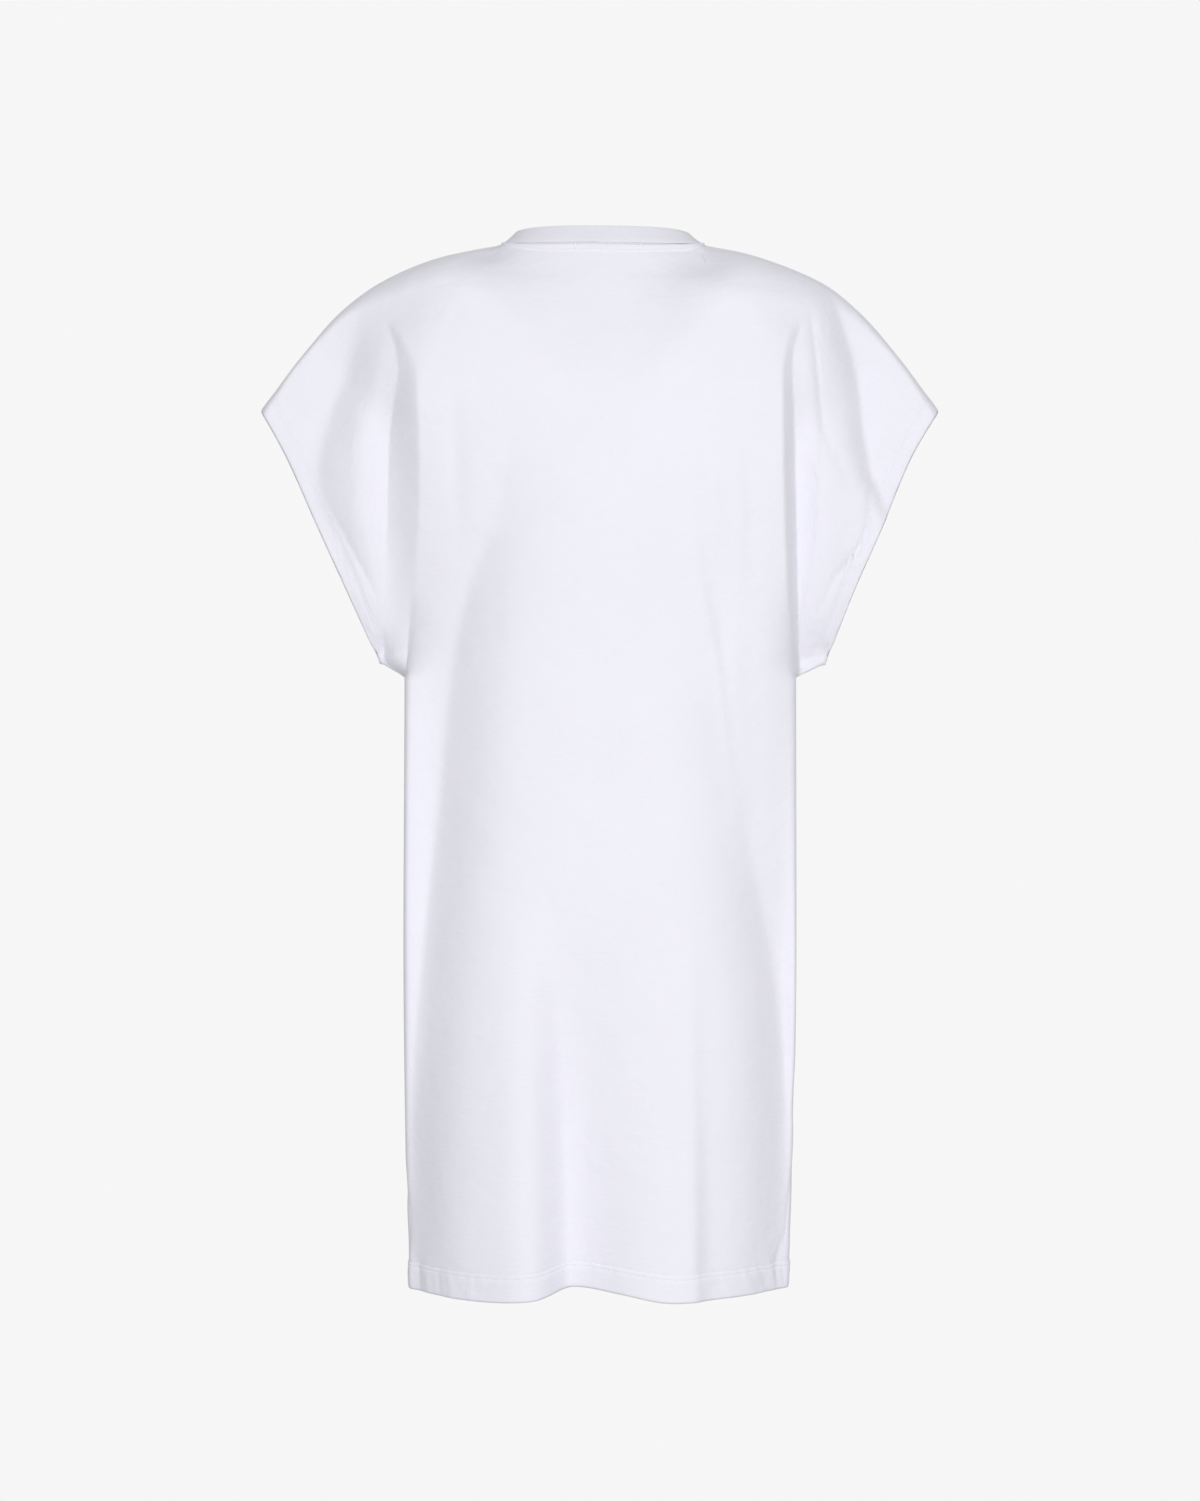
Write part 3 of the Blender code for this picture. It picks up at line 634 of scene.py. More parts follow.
def base_cloth(panel, row, column):
    """The inner face of a panel at any rows and columns: side to side place from the columns, height
    from the row's end lifted to the shoulder line, depth from the sections and the folds."""
    row, column = np.broadcast_arrays(np.asarray(row, float), np.asarray(column, float))
    on_left = column >= 0
    left_x, left_z, share = row_end(row, True)
    right_x, right_z, _ = row_end(row, False)
    edge_x, edge_z = np.where(on_left, left_x, -right_x), np.where(on_left, left_z, right_z)
    tip_z = CUFF_EDGE[-1][2] * MM
    rise = np.clip((left_z - UNDERARM_HEIGHT) / (tip_z - UNDERARM_HEIGHT), 0, 1)
    x = column_places(column, rise, edge_x, edge_z) * np.sign(column)
    tip_x = np.full_like(x, CUFF_EDGE[-1][1] * MM)
    top_x = column_places(column, np.ones_like(x), tip_x, np.full_like(x, tip_z)) * np.sign(column)
    top_z = overarm_height(top_x) - NECK_DROP[panel] * np.cos(neck_turn(column))
    z = edge_z + np.sin(rise * np.pi / 2) * (top_z - tip_z)
    hem = np.array(HEM_LINE[panel]) * MM
    hem_wave = through(x, hem[:, 0], hem[:, 1]) - HEM_HEIGHT
    z = z + hem_wave * np.clip(1 - (z - HEM_HEIGHT) / HEM_WAVE_REACH, 0, 1) ** 2

    arm_form = smooth_step(rise / ARM_FORM_BY)
    opens = smooth_step(share / SLEEVE_EDGE_OPENS)
    above, on_body = arm_depth(x, z, panel, edge_x, arm_form, opens)
    depth = np.where(row <= UNDERARM_ROW, body_depth(x, z, panel, edge_x), above)
    fade = by_side(x, *FOLD_SIDE_FADE)
    fade = fade + (HEM_SIDE_FADE - fade) * smooth_step((SIDE_FADE_FROM - z) / SIDE_FADE_OVER)
    side_share = 1 - (1 - opens) * np.clip(np.abs(x / edge_x), 0, 1) ** fade
    above_underarm = smooth_step((row - UNDERARM_ROW) / UNDERARM_BLEND)
    depth = depth + side_share * lines_height(x, z, FOLDS[panel], 1 - above_underarm * (1 - on_body))
    on_seam = (np.abs(column) >= EDGE_COLUMN) & (opens == 0)
    least = LEAST_DEPTH * np.minimum(1, EDGE_COLUMN - np.abs(column) + opens)
    depth = np.where(on_seam, 0.0, np.maximum(depth, least))

    start_z = overarm_height(x)
    neck_reach = by_side(x, OVERARM_SEAM[0][1], -OVERARM_SEAM[0][3]) * MM + NECK_SPREAD * (start_z - z)
    rounder = 0.5 + NECK_MELTS * np.clip((start_z - z) / NECK_MELTS_OVER, 0, 1)
    start_y = NECK_DEPTH[panel] * np.clip(1 - (x / neck_reach) ** 2, 0, 1) ** rounder
    distances = column_of(TOP_TURN, 1)
    turn_height, sharpness = (by_side(x, through(np.abs(x), distances, column_of(TOP_TURN, place, scale)),
                                      through(np.abs(x), distances, column_of(TOP_TURN, place + 2, scale)))
                              for place, scale in ((2, MM), (3, 1.0)))
    down = np.clip((start_z - z) / turn_height, 0, 1)
    turned = (1 - (1 - down) ** 2) ** sharpness
    y = start_y + (depth - start_y) * turned
    return np.stack((x, y if panel == "back" else -y, z), axis=-1)


def facing(panel, row, column):
    """The outward direction of a panel's surface: the cross product of its slopes along the rows and
    along the columns, each taken between two points a nudge away."""
    row, column = np.broadcast_arrays(np.asarray(row, float), np.asarray(column, float))
    up = (base_cloth(panel, np.minimum(row + NUDGE, TOP_ROW), column)
          - base_cloth(panel, np.maximum(row - NUDGE, 0), column))
    across = (base_cloth(panel, row, np.minimum(column + NUDGE, EDGE_COLUMN))
              - base_cloth(panel, row, np.maximum(column - NUDGE, -EDGE_COLUMN)))
    outward = unit(np.cross(up, across))
    return outward if panel == "back" else -outward


def turned_edge(x, to_edge, rows, soft):
    """What a turned edge shows outside: a low step as wide as its rows of stitches, and ripples along
    the first row. The ripples are a short sine that swells under a longer one, and a finer sine."""
    step = smooth_step((rows[1] + soft - to_edge) / (2 * soft))
    ripples = np.sin(x / RIPPLE) * np.sin(x / RIPPLE_SWELL + 1.3) + 0.6 * np.sin(x / RIPPLE_FINE + 0.4)
    return TURNED_RAISED * step + STITCH_PULL * bell(to_edge - rows[0], RIPPLE_REACH) * ripples


def neck_relief(column, at):
    """The back's own relief: bells along the lower edge of the neck's strip, along the neck seam and
    along the seam lines near the overarm edge, each fading at its ends."""
    x, z = at[..., 0], at[..., 2]
    top = base_cloth("back", np.full_like(x, TOP_ROW), column)
    below = np.linalg.norm(at - top, axis=-1)
    round_neck = smooth_step((NECK_COLUMN + NECK_FADE - np.abs(column)) / NECK_FADE)
    out = -round_neck * SEAM_DIP * bell(below - STRIP_WIDTH - 1 * MM, SEAM_DIP_WIDTH)
    out = out - round_neck * STRIP_GROOVE * bell(below - STRIP_GROOVE_AT, STRIP_GROOVE_WIDTH)
    below_top = overarm_height(x) - z
    for _, start, end, distance in SEAM_LINES:
        inside = smooth_step((x / MM - start) / SEAM_LINE_FADE) * smooth_step((end - x / MM) / SEAM_LINE_FADE)
        out = out - SEAM_LINE_DEPTH * inside * bell(below_top - distance * MM, SEAM_LINE_WIDTH)
    return out


def relief(panel, row, column, at):
    """How far the outer face stands out or in: fine lines and wrinkles, a dip along the seams, the
    turned hem and cuffs, and a groove under each row of stitches."""
    x, z = at[..., 0], at[..., 2]
    out = wrinkle_height(x, z, panel) + lines_height(x, z, FINE_LINES[panel], 1.0)
    edge = base_cloth(panel, row, by_side(column, EDGE_COLUMN, -EDGE_COLUMN))
    to_side, to_hem = np.linalg.norm(at - edge, axis=-1), height_at(row)
    on_cuff = row >= CUFF_ROW
    out = out - SEAM_DIP * ~on_cuff * bell(to_side, SEAM_DIP_WIDTH)
    out = out + turned_edge(x, to_hem, HEM_ROWS, HEM_STEP_SOFT)
    out = out + CUFF_RAISED_SHARE * on_cuff * turned_edge(x, to_side, CUFF_ROWS, CUFF_STEP_SOFT)
    for height in HEM_ROWS:
        out = out - STITCH_GROOVE * bell(to_hem - height, STITCH_GROOVE_WIDTH)
    pulled = on_cuff * smooth_step((CUFF_GROOVE_FROM - z) / CUFF_GROOVE_OVER)
    for distance in CUFF_ROWS:
        out = out - STITCH_GROOVE * pulled * bell(to_side - distance, CUFF_GROOVE_WIDTH)
    return out + neck_relief(column, at) if panel == "back" else out


def cloth(panel, row, column):
    """The inner face of a panel with its relief."""
    row, column = np.broadcast_arrays(np.asarray(row, float), np.asarray(column, float))
    at = base_cloth(panel, row, column)
    return at + facing(panel, row, column) * relief(panel, row, column, at)[..., None]


# ---------------------------------------------------------------------------------------------------
# Meshes


def grid_faces(rows, columns, round_rows=False, round_columns=False):
    """Four-sided faces of a grid whose points run row by row."""
    up = np.arange(rows if round_rows else rows - 1)[:, None]
    across = np.arange(columns if round_columns else columns - 1)[None]
    next_up, next_across = (up + 1) % rows, (across + 1) % columns
    corners = (up * columns + across, up * columns + next_across,
               next_up * columns + next_across, next_up * columns + across)
    return np.stack([np.broadcast_to(c, corners[0].shape).ravel() for c in corners], axis=1)


def gone_along(path):
    """How far along a line of points each point is: the running sum of its steps."""
    return np.concatenate(([0.0], np.cumsum(np.linalg.norm(np.diff(path, axis=0), axis=1))))


def flat_places(u, v):
    """Flat places of a grid's points from one measure a column and one a row."""
    return np.stack(np.broadcast_arrays(u[None], v[:, None]), axis=-1)


def soft_round(values, reach, width, axis=0):
    """Values round a closed ring, each blended with its neighbours by a bell."""
    steps = np.arange(-reach, reach + 1)
    weights = bell(steps, width)
    weights = weights / weights.sum()
    return sum(weight * np.roll(values, k, axis=axis) for weight, k in zip(weights, steps))


def new_piece(name, points, faces, material, uv=None):
    """A smooth mesh from arrays of points and faces, riding on the dress. Points that no face uses go."""
    used, faces = np.unique(faces, return_inverse=True)
    faces = faces.reshape(-1, 4)
    points = points.reshape(-1, 3)[used]
    mesh = bpy.data.meshes.new(name)
    mesh.from_pydata(points.tolist(), [], faces.tolist())
    if uv is not None:
        layer = mesh.uv_layers.new(name="UVMap")
        layer.data.foreach_set("uv", uv.reshape(-1, 2)[used][faces.ravel()].ravel())
    mesh.materials.append(material)
    mesh.shade_smooth()
    piece = bpy.data.objects.new(name, mesh)
    bpy.context.scene.collection.objects.link(piece)
    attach(piece, "root")
    return piece


def give_wall(piece, thickness):
    """The cloth's thickness, outward from its inner face."""
    wall = piece.modifiers.new("cloth", "SOLIDIFY")
    wall.thickness = thickness
    wall.offset = 1.0


# ---------------------------------------------------------------------------------------------------
# Materials


def node(tree, kind, **values):
    """A new shader node. A value named in_ and a socket's name or number goes to that socket, and any
    other is a setting of the node."""
    made = tree.nodes.new(kind)
    for key, value in values.items():
        if key.startswith("in_"):
            socket = key[3:]
            made.inputs[int(socket) if socket.isdigit() else socket.replace("_", " ")].default_value = value
        else:
            setattr(made, key, value)
    return made


def new_material(name, colour, roughness):
    """A plain material. Gives it, its node tree and its shader."""
    material = bpy.data.materials.new(name)
    material.use_nodes = True
    shader = material.node_tree.nodes["Principled BSDF"]
    shader.inputs["Base Color"].default_value = (*colour, 1)
    shader.inputs["Roughness"].default_value = roughness
    return material, material.node_tree, shader


def knit(name, colour, wale, course, wale_bump, fuzz, mottle):
    """Knitted cotton, all on the cloth's own flat measure: columns of loops a wale apart and rows of
    loops a course apart, over slubs along the rows and a soft unevenness of hand, with a colour that
    goes a little darker and lighter in blotches, and a short fuzz."""
    material, tree, shader = new_material(name, colour, KNIT_ROUGHNESS)
    link = tree.links.new
    shader.inputs["Specular IOR Level"].default_value = 0.25
    shader.inputs["Sheen Weight"].default_value = fuzz
    shader.inputs["Sheen Roughness"].default_value = 0.55
    flat = node(tree, "ShaderNodeUVMap", uv_map="UVMap").outputs["UV"]
    wales = node(tree, "ShaderNodeTexWave", bands_direction="X", in_Scale=WAVE_LENGTH / wale,
                 in_Distortion=0.6, in_Detail=1.0, in_Detail_Scale=0.6)
    courses = node(tree, "ShaderNodeTexWave", bands_direction="Y", in_Scale=WAVE_LENGTH / course,
                   in_Distortion=1.2, in_Detail=1.0, in_Detail_Scale=1.0)
    hand = node(tree, "ShaderNodeTexNoise", in_Scale=110.0, in_Detail=1.0, in_Roughness=0.5)
    slack = node(tree, "ShaderNodeTexNoise", in_Scale=30.0, in_Detail=2.0, in_Roughness=0.5)
    blotch = node(tree, "ShaderNodeTexNoise", in_Scale=9.0, in_Detail=5.0, in_Roughness=0.65)
    for texture in (wales, courses, hand, slack, blotch):
        link(flat, texture.inputs["Vector"])
    along_rows = node(tree, "ShaderNodeMapping", in_Scale=(55.0, 330.0, 1.0))
    slub = node(tree, "ShaderNodeTexNoise", in_Scale=1.0, in_Detail=2.0, in_Roughness=0.5)
    link(flat, along_rows.inputs["Vector"])
    link(along_rows.outputs["Vector"], slub.inputs["Vector"])
    loops = node(tree, "ShaderNodeMath", operation="MULTIPLY_ADD", in_1=0.55)
    link(courses.outputs["Fac"], loops.inputs[0])
    link(wales.outputs["Fac"], loops.inputs[2])

    soft = node(tree, "ShaderNodeBump", in_Strength=mottle, in_Distance=3.0 * MM)
    slubby = node(tree, "ShaderNodeBump", in_Strength=mottle, in_Distance=0.55 * MM)
    uneven = node(tree, "ShaderNodeBump", in_Strength=mottle, in_Distance=0.5 * MM)
    knitted = node(tree, "ShaderNodeBump", in_Strength=wale_bump, in_Distance=0.25 * MM)
    bumps = (soft, slubby, uneven, knitted)
    for bump, height in zip(bumps, (slack, slub, hand, loops)):
        link(height.outputs[0], bump.inputs["Height"])
    for under, over in zip(bumps, bumps[1:]):
        link(under.outputs["Normal"], over.inputs["Normal"])
    link(knitted.outputs["Normal"], shader.inputs["Normal"])

    shade = node(tree, "ShaderNodeMix", data_type="RGBA")
    shade.inputs["A"].default_value = (*(c * DARKER for c in colour), 1)
    shade.inputs["B"].default_value = (*(min(1.0, c * LIGHTER) for c in colour), 1)
    link(blotch.outputs["Fac"], shade.inputs["Factor"])
    link(shade.outputs["Result"], shader.inputs["Base Color"])
    return material


def thread(name, colour):
    """Sewing thread: a little glossier than the cloth, twisted."""
    material, tree, shader = new_material(name, colour, 0.6)
    place = node(tree, "ShaderNodeTexCoord")
    twist = node(tree, "ShaderNodeTexWave", bands_direction="DIAGONAL", in_Scale=900.0, in_Distortion=0.5)
    bump = node(tree, "ShaderNodeBump", in_Strength=0.4, in_Distance=0.1 * MM)
    tree.links.new(place.outputs["Object"], twist.inputs["Vector"])
    tree.links.new(twist.outputs["Fac"], bump.inputs["Height"])
    tree.links.new(bump.outputs["Normal"], shader.inputs["Normal"])
    return material


# ---------------------------------------------------------------------------------------------------
# The two panels


def panel_rows():
    """Row numbers of the fine grid: close at the stitches of the hem, and evenly spaced above it."""
    hem = row_at(np.array(HEM_GRID) * MM)
    seam = np.linspace(1.2, UNDERARM_ROW, 80)
    underarm = np.linspace(UNDERARM_ROW, CUFF_ROW, 9)[1:]
    cuff = np.linspace(CUFF_ROW, TOP_ROW, 81)[1:]
    return np.concatenate((hem, seam, underarm, cuff))


def panel_columns():
    """Column numbers of the fine grid: closest over the sleeves and at their edges."""
    round_neck = np.linspace(0, NECK_COLUMN, 33)[:-1]
    body = np.linspace(NECK_COLUMN, BODY_COLUMN, 40)[:-1]
    side = np.linspace(BODY_COLUMN, EDGE_COLUMN - 0.75, 42)
    at_edge = EDGE_COLUMN - np.array((0.5, 0.3, 0.15, 0.05, 0.0))
    half = np.concatenate((round_neck, body, side, at_edge))
    return np.concatenate((-half[:0:-1], half))


def side_reach(panel, rows, side):
    """How far it is along each row from the last line of the table of columns to the edge."""
    last = base_cloth(panel, rows, np.full_like(rows, side * BODY_COLUMN))
    edge = base_cloth(panel, rows, np.full_like(rows, side * EDGE_COLUMN))
    return np.linalg.norm(edge - last, axis=-1)


def turned_margin(panel, rows, side):
    """The cloth turned in along a panel's side: seam allowance up to the underarm, the cuff's hem above
    it. Its points lie inside the panel's own, by a gap that opens just behind the fold."""
    width = SEAM_ALLOWANCE + (CUFF_WIDTH - SEAM_ALLOWANCE) * smooth_step((rows - CUFF_ROW) / 0.4)
    reach = side_reach(panel, rows, side)
    share = np.array(MARGIN_SHARES)
    column = EDGE_COLUMN - (EDGE_COLUMN - BODY_COLUMN) * width[:, None] * share[None] / reach[:, None]
    column = np.clip(column, BODY_COLUMN - 2, EDGE_COLUMN) * side
    grid_rows = np.broadcast_to(rows[:, None], column.shape)
    at, out = cloth(panel, grid_rows, column), facing(panel, grid_rows, column)
    sink = np.minimum(share / MARGIN_SHARES[1], 1)[None, :, None]
    return at - out * (TURN_GAP * sink)


def cut_places(points, margin):
    """Where each point of a panel's grid lies on the flat cut: the running sums of the steps along its
    row, from the middle, and up its column. The turned margins go up as the panel's own edge does."""
    along = np.linalg.norm(np.diff(points, axis=1), axis=-1)
    u = np.concatenate((np.zeros((len(points), 1)), np.cumsum(along, axis=1)), axis=1)
    u -= u[:, [points.shape[1] // 2]]
    up = np.linalg.norm(np.diff(points, axis=0), axis=-1)
    up[:, :margin] = up[:, [margin]]
    up[:, -margin:] = up[:, [-margin - 1]]
    v = np.concatenate((np.zeros((1, points.shape[1])), np.cumsum(up, axis=0)))
    return np.stack((u, v), axis=-1)


def make_panel(panel, material):
    """A panel with its turned hem, its turned cuffs and its seam allowances as one sheet of cloth. The
    turned hem is a second surface a gap inside the first, joined to it at the fold."""
    rows, columns = panel_rows(), panel_columns()
    main = cloth(panel, rows[:, None], columns[None])
    hem_rows = row_at(np.concatenate((HEM_WIDTH * np.array((1.0, 0.75, 0.5, 0.25)), (1.5 * MM, 0.4 * MM))))
    inside = cloth(panel, hem_rows[:, None], columns[None])
    inside -= facing(panel, hem_rows[:, None], columns[None]) * TURN_GAP
    points = np.concatenate((inside, main))

    left, right = turned_margin(panel, rows, 1), turned_margin(panel, rows, -1)
    blank = np.zeros((len(hem_rows), left.shape[1] - 1, 3))
    left = np.concatenate((blank, left[:, 1:]))
    right = np.concatenate((blank, right[:, :0:-1]))
    points = np.concatenate((right, points, left), axis=1)

    margin = left.shape[1]
    faces = grid_faces(*points.shape[:2])
    face_row, face_column = np.divmod(np.arange(len(faces)), points.shape[1] - 1)
    first_sewn = len(hem_rows) + int(np.searchsorted(rows, row_at(HEM_WIDTH)))
    in_margin = (face_column < margin) | (face_column >= points.shape[1] - 1 - margin)
    faces = faces[~in_margin | (face_row > first_sewn)]
    if panel == "back":
        faces = faces[:, ::-1]
    piece = new_piece(panel + "_cloth", points, faces, material, cut_places(points, margin))
    give_wall(piece, CLOTH)
    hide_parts(panel + "_panel")
    return piece


# ---------------------------------------------------------------------------------------------------
# The neckband


def neckline():
    """The closed line of the neck: along the back from the wearer's right to the left, and back along
    the front. Gives its points and the outward direction of the cloth below them."""
    columns = np.linspace(-NECK_COLUMN, NECK_COLUMN, 97)
    rows = np.full_like(columns, TOP_ROW)
    below = rows - 0.25
    ring = np.concatenate((base_cloth("back", rows, columns), base_cloth("front", rows, columns)[-2:0:-1]))
    out = np.concatenate((facing("back", below, columns), facing("front", below, columns)[-2:0:-1]))
    return ring, unit(soft_round(out, 4, 2.0))


def make_neckband(material):
    """Folded rib all round: a path that goes on from the neckline and turns up to its lean, softened
    round the ring toward its rim, given a thickness on both sides and closed by a half circle at the
    top. The lean goes from the front's to the back's, and nears the side's at the neck points."""
    ring, normal = neckline()
    ahead = unit(np.roll(ring, -1, axis=0) - ring)
    along = unit(ahead + np.roll(ahead, 1, axis=0))
    onward = unit(np.cross(along, normal))
    inward = unit(np.stack((-ring[:, 0], -ring[:, 1], np.zeros(len(ring))), axis=1))
    sideways = np.abs(ring[:, :1] / np.abs(ring[:, 0]).max()) ** 3
    behind = smooth_step(0.5 + ring[:, 1:2] / BAND_LEAN_OVER)
    lean = BAND_LEAN["front"] + (BAND_LEAN["back"] - BAND_LEAN["front"]) * behind
    lean = np.radians(lean + (BAND_LEAN["side"] - lean) * sideways)
    upward = inward * np.sin(lean) + np.array([0, 0, 1.0]) * np.cos(lean)
    upward = unit(upward - along * (upward * along).sum(axis=1, keepdims=True))

    path, headings = [ring - onward * BAND_OVERLAP], [onward]
    for turned, length in BAND_ROWS:
        heading = unit(onward * (1 - turned) + upward * turned)
        path.append(path[-1] + heading * length * (BAND_WIDTH - BAND_THICKNESS / 2))
        headings.append(heading)
    path = np.stack(path)
    to_rim = smooth_step(np.arange(len(path)) / (len(path) - 1.0))[:, None, None]
    path += (soft_round(path, RIM_REACH, RIM_REACH / 2, axis=1) - path) * to_rim

    outward = unit(np.cross(headings, along[None]))
    middle = path + outward * CLOTH * 0.6
    swell = 0.5 + 0.5 * smooth_step(np.arange(len(path)) / 2.5)
    half = (BAND_THICKNESS / 2 * swell)[:, None, None]
    top = [middle[-1] + (outward[-1] * np.cos(a) + headings[-1] * np.sin(a)) * BAND_THICKNESS / 2
           for a in np.radians(np.arange(22.5, 180, 22.5))]
    loop = np.concatenate((middle + outward * half, np.stack(top), (middle - outward * half)[::-1]))
    faces = grid_faces(*loop.shape[:2], round_rows=True, round_columns=True)[:, ::-1]
    v = np.concatenate(([0.0], np.cumsum(np.linalg.norm(np.diff(loop, axis=0), axis=-1).mean(axis=1))))
    piece = new_piece("neck_rib", loop, faces, material, flat_places(gone_along(ring), v))
    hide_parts("neckband")
    return piece


# ---------------------------------------------------------------------------------------------------
# Sewing


def stitches(name, path, normals, material, length=STITCH_LENGTH, step=STITCH_STEP, radius=STITCH_RADIUS):
    """A row of stitches along a path on the cloth: each a short bar with round ends, a few rings of six
    points, that dips into the cloth at both ends."""
    gone = gone_along(path)
    middles = np.arange(step / 2, gone[-1] - step / 2, step)
    share, wide, lift = np.array(STITCH_PROFILE).T
    at = middles[:, None] + share[None] * length / 2
    centre = np.stack([np.interp(at, gone, path[:, k]) for k in range(3)], axis=-1)
    out = unit(np.stack([np.interp(at, gone, normals[:, k]) for k in range(3)], axis=-1))
    ahead = unit(centre[:, -1:] - centre[:, :1])
    side = unit(np.cross(ahead, out))
    centre = centre + out * (radius * lift)[None, :, None]
    angles = np.arange(6) * np.pi / 3
    ring = side[:, :, None] * np.cos(angles)[:, None] + out[:, :, None] * np.sin(angles)[:, None]
    points = centre[:, :, None] + ring * (radius * wide)[None, :, None, None]
    ends = np.array(((0, 1, 2, 3), (0, 3, 4, 5), (27, 26, 25, 24), (29, 28, 27, 24)))
    one = np.concatenate((grid_faces(len(STITCH_PROFILE), 6, round_columns=True), ends[:, ::-1]))
    faces = (np.arange(len(middles))[:, None, None] * len(STITCH_PROFILE) * 6 + one[None]).reshape(-1, 4)
    return new_piece(name, points, faces[:, ::-1], material)


def on_cloth(panel, row, column, lift):
    """Points and outward directions on a panel's outer face, lifted off it."""
    out = facing(panel, row, column)
    return cloth(panel, row, column) + out * (CLOTH + np.asarray(lift)[..., None]), out


def sew_hem(panel, material):
    """Two rows of stitches round the turned hem."""
    made = []
    columns = np.linspace(-EDGE_COLUMN + 0.05, EDGE_COLUMN - 0.05, 700)
    for number, height in enumerate(HEM_ROWS, 1):
        path, out = on_cloth(panel, np.full_like(columns, row_at(height)), columns, STITCH_LIFT)
        made.append(stitches("%s_hem_stitches_%d" % (panel, number), path, out, material))
    return made


def sew_cuffs(panel, material):
    """Two rows of stitches along each of a panel's two turned cuffs."""
    made = []
    rows = np.linspace(CUFF_ROW + 1.2, TOP_ROW - 0.6, 300)
    for name, side in (("left", 1), ("right", -1)):
        reach = side_reach(panel, rows, side)
        for number, distance in enumerate(CUFF_ROWS, 1):
            column = side * (EDGE_COLUMN - (EDGE_COLUMN - BODY_COLUMN) * distance / reach)
            path, out = on_cloth(panel, rows, column, STITCH_LIFT)
            made.append(stitches("%s_%s_cuff_stitches_%d" % (panel, name, number), path, out, material,
                                 radius=CUFF_STITCH_RADIUS))
    return made


def below_neckline(distance, columns, lift):
    """Points and outward directions on the back, a distance down from the neckline: the rows where
    the running sum of the steps down each column reaches it."""
    rows = np.linspace(TOP_ROW, TOP_ROW - 4, 80)
    down = base_cloth("back", rows[:, None], columns[None])
    steps = np.linalg.norm(np.diff(down, axis=0), axis=-1)
    gone = np.concatenate((np.zeros((1, len(columns))), np.cumsum(steps, axis=0)))
    row = np.array([np.interp(distance, gone[:, k], rows) for k in range(len(columns))])
    return on_cloth("back", row, columns, lift)


def make_neck_strip(material):
    """The narrow strip sewn over the back neck seam: it goes from neck point to neck point, its
    section a low plateau that comes down to the cloth at both edges and is pinched at the tacks."""
    columns = np.linspace(-NECK_COLUMN, NECK_COLUMN, 241)
    x = base_cloth("back", np.full_like(columns, TOP_ROW), columns)[:, 0]
    pinch = 1 - 0.8 * sum(bell(x - tack, 1.6 * MM) for tack in TACKS_AT)
    places = [STRIP_FROM + (STRIP_WIDTH - STRIP_FROM) * share for share, _ in STRIP_PROFILE]
    points = np.stack([below_neckline(place, columns, height * STRIP_THICKNESS * pinch)[0]
                       for place, (_, height) in zip(places, STRIP_PROFILE)])
    middle = points[len(points) // 2]
    uv = flat_places(gone_along(middle), np.array(places))
    return new_piece("neck_strip", points, grid_faces(*points.shape[:2]), material, uv)


def sew_neck(material, tack_material):
    """Two rows of stitches along the edges of the strip under the back of the neckband, and the two
    small bar tacks across it."""
    columns = np.linspace(-NECK_COLUMN + 0.7, NECK_COLUMN - 0.7, 300)
    made = []
    for number, distance in enumerate((STRIP_FROM + 0.9 * MM, STRIP_WIDTH - 0.9 * MM), 1):
        path, out = below_neckline(distance, columns, STRIP_THICKNESS + STITCH_LIFT)
        made.append(stitches("back_neck_stitches_%d" % number, path, out, material,
                             length=2.2 * MM, step=2.7 * MM, radius=0.3 * MM))
    tack_top = STRIP_FROM + 0.2 * MM
    top, out = below_neckline(tack_top, columns, STRIP_THICKNESS)
    low, _ = below_neckline(tack_top + TACK_LENGTH, columns, STRIP_THICKNESS)
    for side, x in zip(("left", "right"), TACKS_AT):
        k = int(np.abs(top[:, 0] - x).argmin())
        line = top[k] + (low[k] - top[k]) * np.linspace(0, 1, 24)[:, None]
        made.append(stitches("neck_tack_" + side, line, np.repeat(out[k][None], 24, axis=0), tack_material,
                             length=1.5 * MM, step=0.9 * MM, radius=TACK_RADIUS))
    return made


# ---------------------------------------------------------------------------------------------------
# Light, floor, camera


def area_light(name, at, toward, size, power):
    """A round soft light at one place, turned toward another."""
    light = bpy.data.lights.new(name, "AREA")
    light.shape = "DISK"
    light.size = size
    light.energy = power
    lamp = bpy.data.objects.new(name, light)
    lamp.location = at
    lamp.rotation_mode = "QUATERNION"
    lamp.rotation_quaternion = Vector(np.array(toward) - np.array(at)).to_track_quat("-Z", "Y")
    bpy.context.scene.collection.objects.link(lamp)


def make_floor():
    """A plain pale floor at the height of the wearer's feet: rings of points round its middle."""
    turn = np.linspace(0, 2 * np.pi, FLOOR_SIDES, endpoint=False)
    circle = np.stack((np.cos(turn), np.sin(turn), np.zeros(FLOOR_SIDES)), axis=-1)
    points = circle[None] * np.array(FLOOR_RINGS)[:, None, None]
    points[..., 2] = FLOOR_HEIGHT
    middle = len(FLOOR_RINGS) * FLOOR_SIDES
    mesh = bpy.data.meshes.new("floor")
    mesh.from_pydata(points.reshape(-1, 3).tolist() + [(0, 0, FLOOR_HEIGHT)], [],
                     grid_faces(len(FLOOR_RINGS), FLOOR_SIDES, round_columns=True)[:, ::-1].tolist()
                     + [(middle, k, (k + 1) % FLOOR_SIDES) for k in range(FLOOR_SIDES)])
    mesh.materials.append(new_material("pale_floor", FLOOR_COLOUR, 0.9)[0])
    floor = bpy.data.objects.new("floor", mesh)
    bpy.context.scene.collection.objects.link(floor)


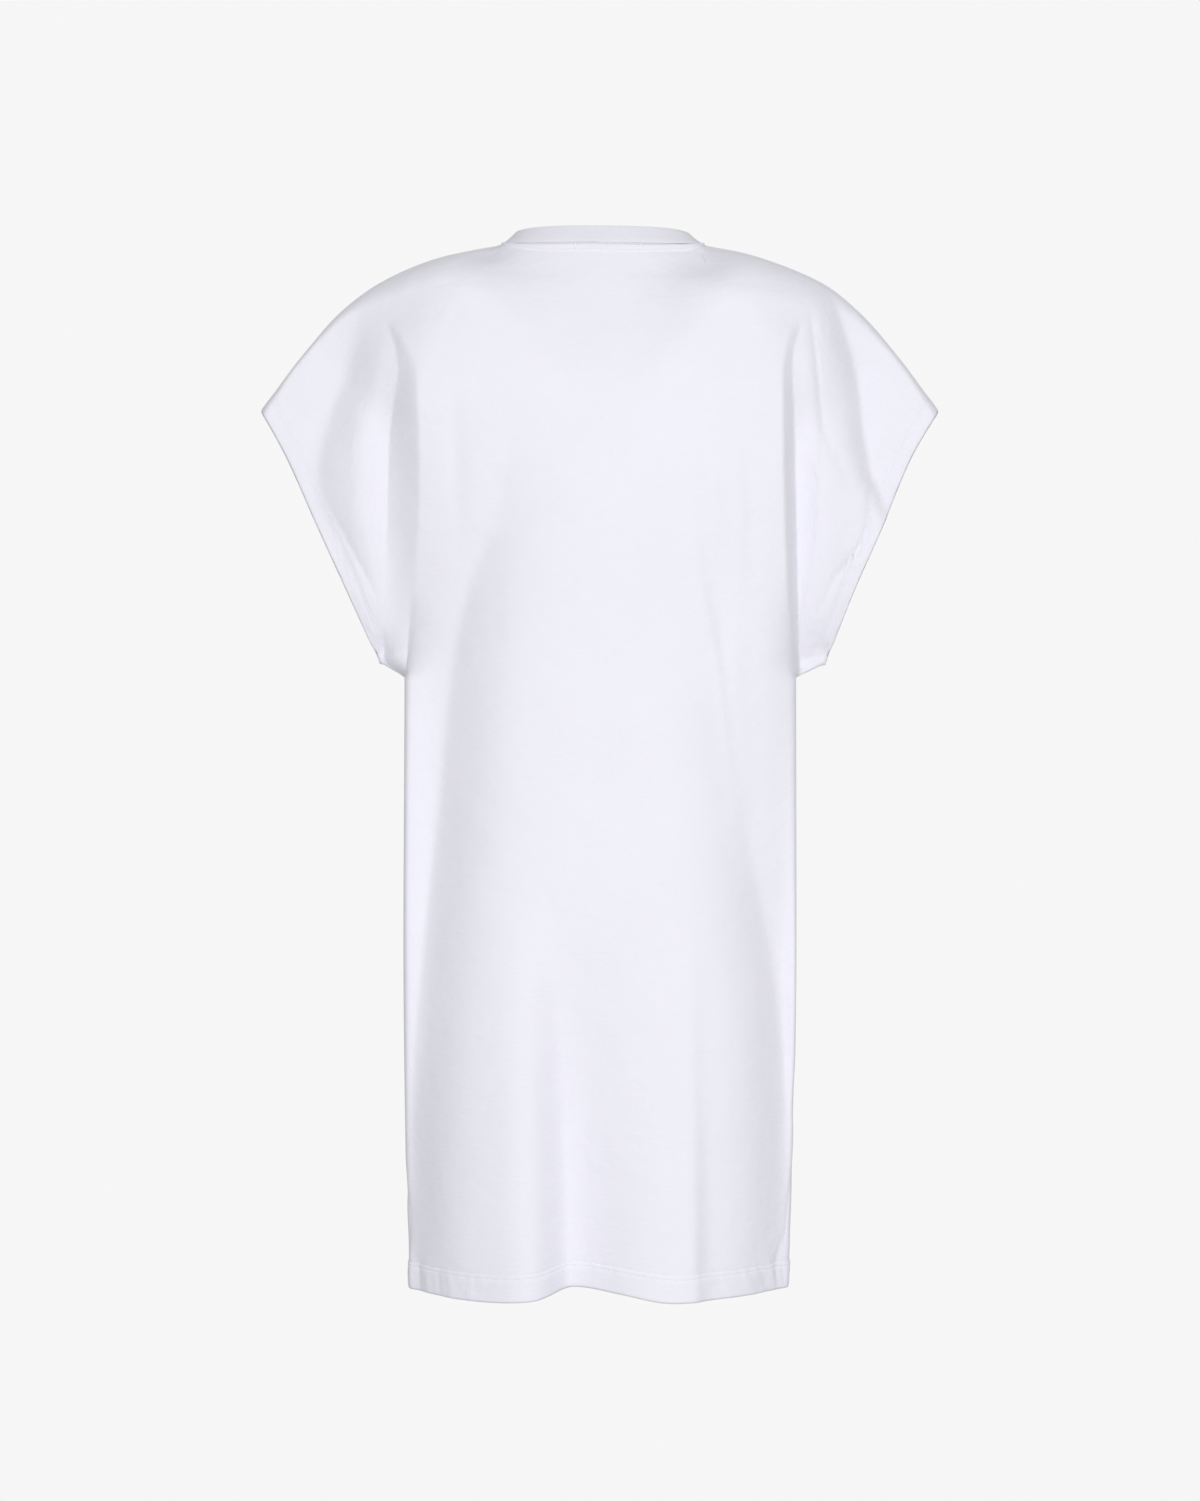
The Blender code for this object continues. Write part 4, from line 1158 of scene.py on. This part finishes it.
def make_light():
    """A pale surround, whose light is a little stronger from above than from below, and soft lights."""
    world = bpy.data.worlds.new("pale_surround")
    bpy.context.scene.world = world
    world.use_nodes = True
    tree = world.node_tree
    link = tree.links.new
    seen = tree.nodes["Background"]
    seen.inputs["Color"].default_value = SURROUND_COLOUR
    soft = node(tree, "ShaderNodeBackground", in_Color=(1, 1, 1, 1))
    toward = node(tree, "ShaderNodeTexCoord")
    parts = node(tree, "ShaderNodeSeparateXYZ")
    level = node(tree, "ShaderNodeMapRange", in_1=-1.0, in_2=1.0, in_3=LIGHT_BELOW, in_4=LIGHT_ABOVE)
    link(toward.outputs["Generated"], parts.inputs[0])
    link(parts.outputs["Z"], level.inputs[0])
    link(level.outputs[0], soft.inputs["Strength"])
    rays = node(tree, "ShaderNodeLightPath")
    mix = node(tree, "ShaderNodeMixShader")
    link(rays.outputs["Is Camera Ray"], mix.inputs[0])
    link(soft.outputs[0], mix.inputs[1])
    link(seen.outputs[0], mix.inputs[2])
    link(mix.outputs[0], tree.nodes["World Output"].inputs["Surface"])
    for name, at, toward_place, size, power in LIGHTS:
        area_light(name, at, toward_place, size, power)
    bpy.context.scene.view_settings.view_transform = "Standard"


def make_camera():
    """Level with the middle of the dress, straight behind it."""
    camera = bpy.data.cameras.new("camera")
    camera.lens = LENS
    camera.sensor_width = SENSOR
    held = bpy.data.objects.new("camera", camera)
    held.location = CAMERA_AT
    held.rotation_euler = (np.pi / 2, 0, np.pi)
    bpy.context.scene.collection.objects.link(held)
    bpy.context.scene.camera = held


make_camera()
make_floor()
make_light()
jersey = knit("white_jersey", COTTON, wale=0.8 * MM, course=0.6 * MM, wale_bump=0.25, fuzz=0.12, mottle=0.5)
rib = knit("white_rib", COTTON, wale=1.9 * MM, course=0.6 * MM, wale_bump=0.8, fuzz=0.12, mottle=0.2)
tape = knit("white_tape", TAPE_COTTON, wale=0.9 * MM, course=0.9 * MM, wale_bump=0.3, fuzz=0.05, mottle=0.3)
sewing = thread("sewing_thread", THREAD_COTTON)
fine_sewing = thread("fine_thread", FINE_THREAD_COTTON)
back = make_panel("back", jersey)
front = make_panel("front", jersey)
band = make_neckband(rib)
back_sewing = sew_hem("back", sewing) + [make_neck_strip(tape)] + sew_neck(fine_sewing, sewing)
back_sewing += sew_cuffs("back", fine_sewing)
front_sewing = sew_hem("front", sewing) + sew_cuffs("front", fine_sewing)
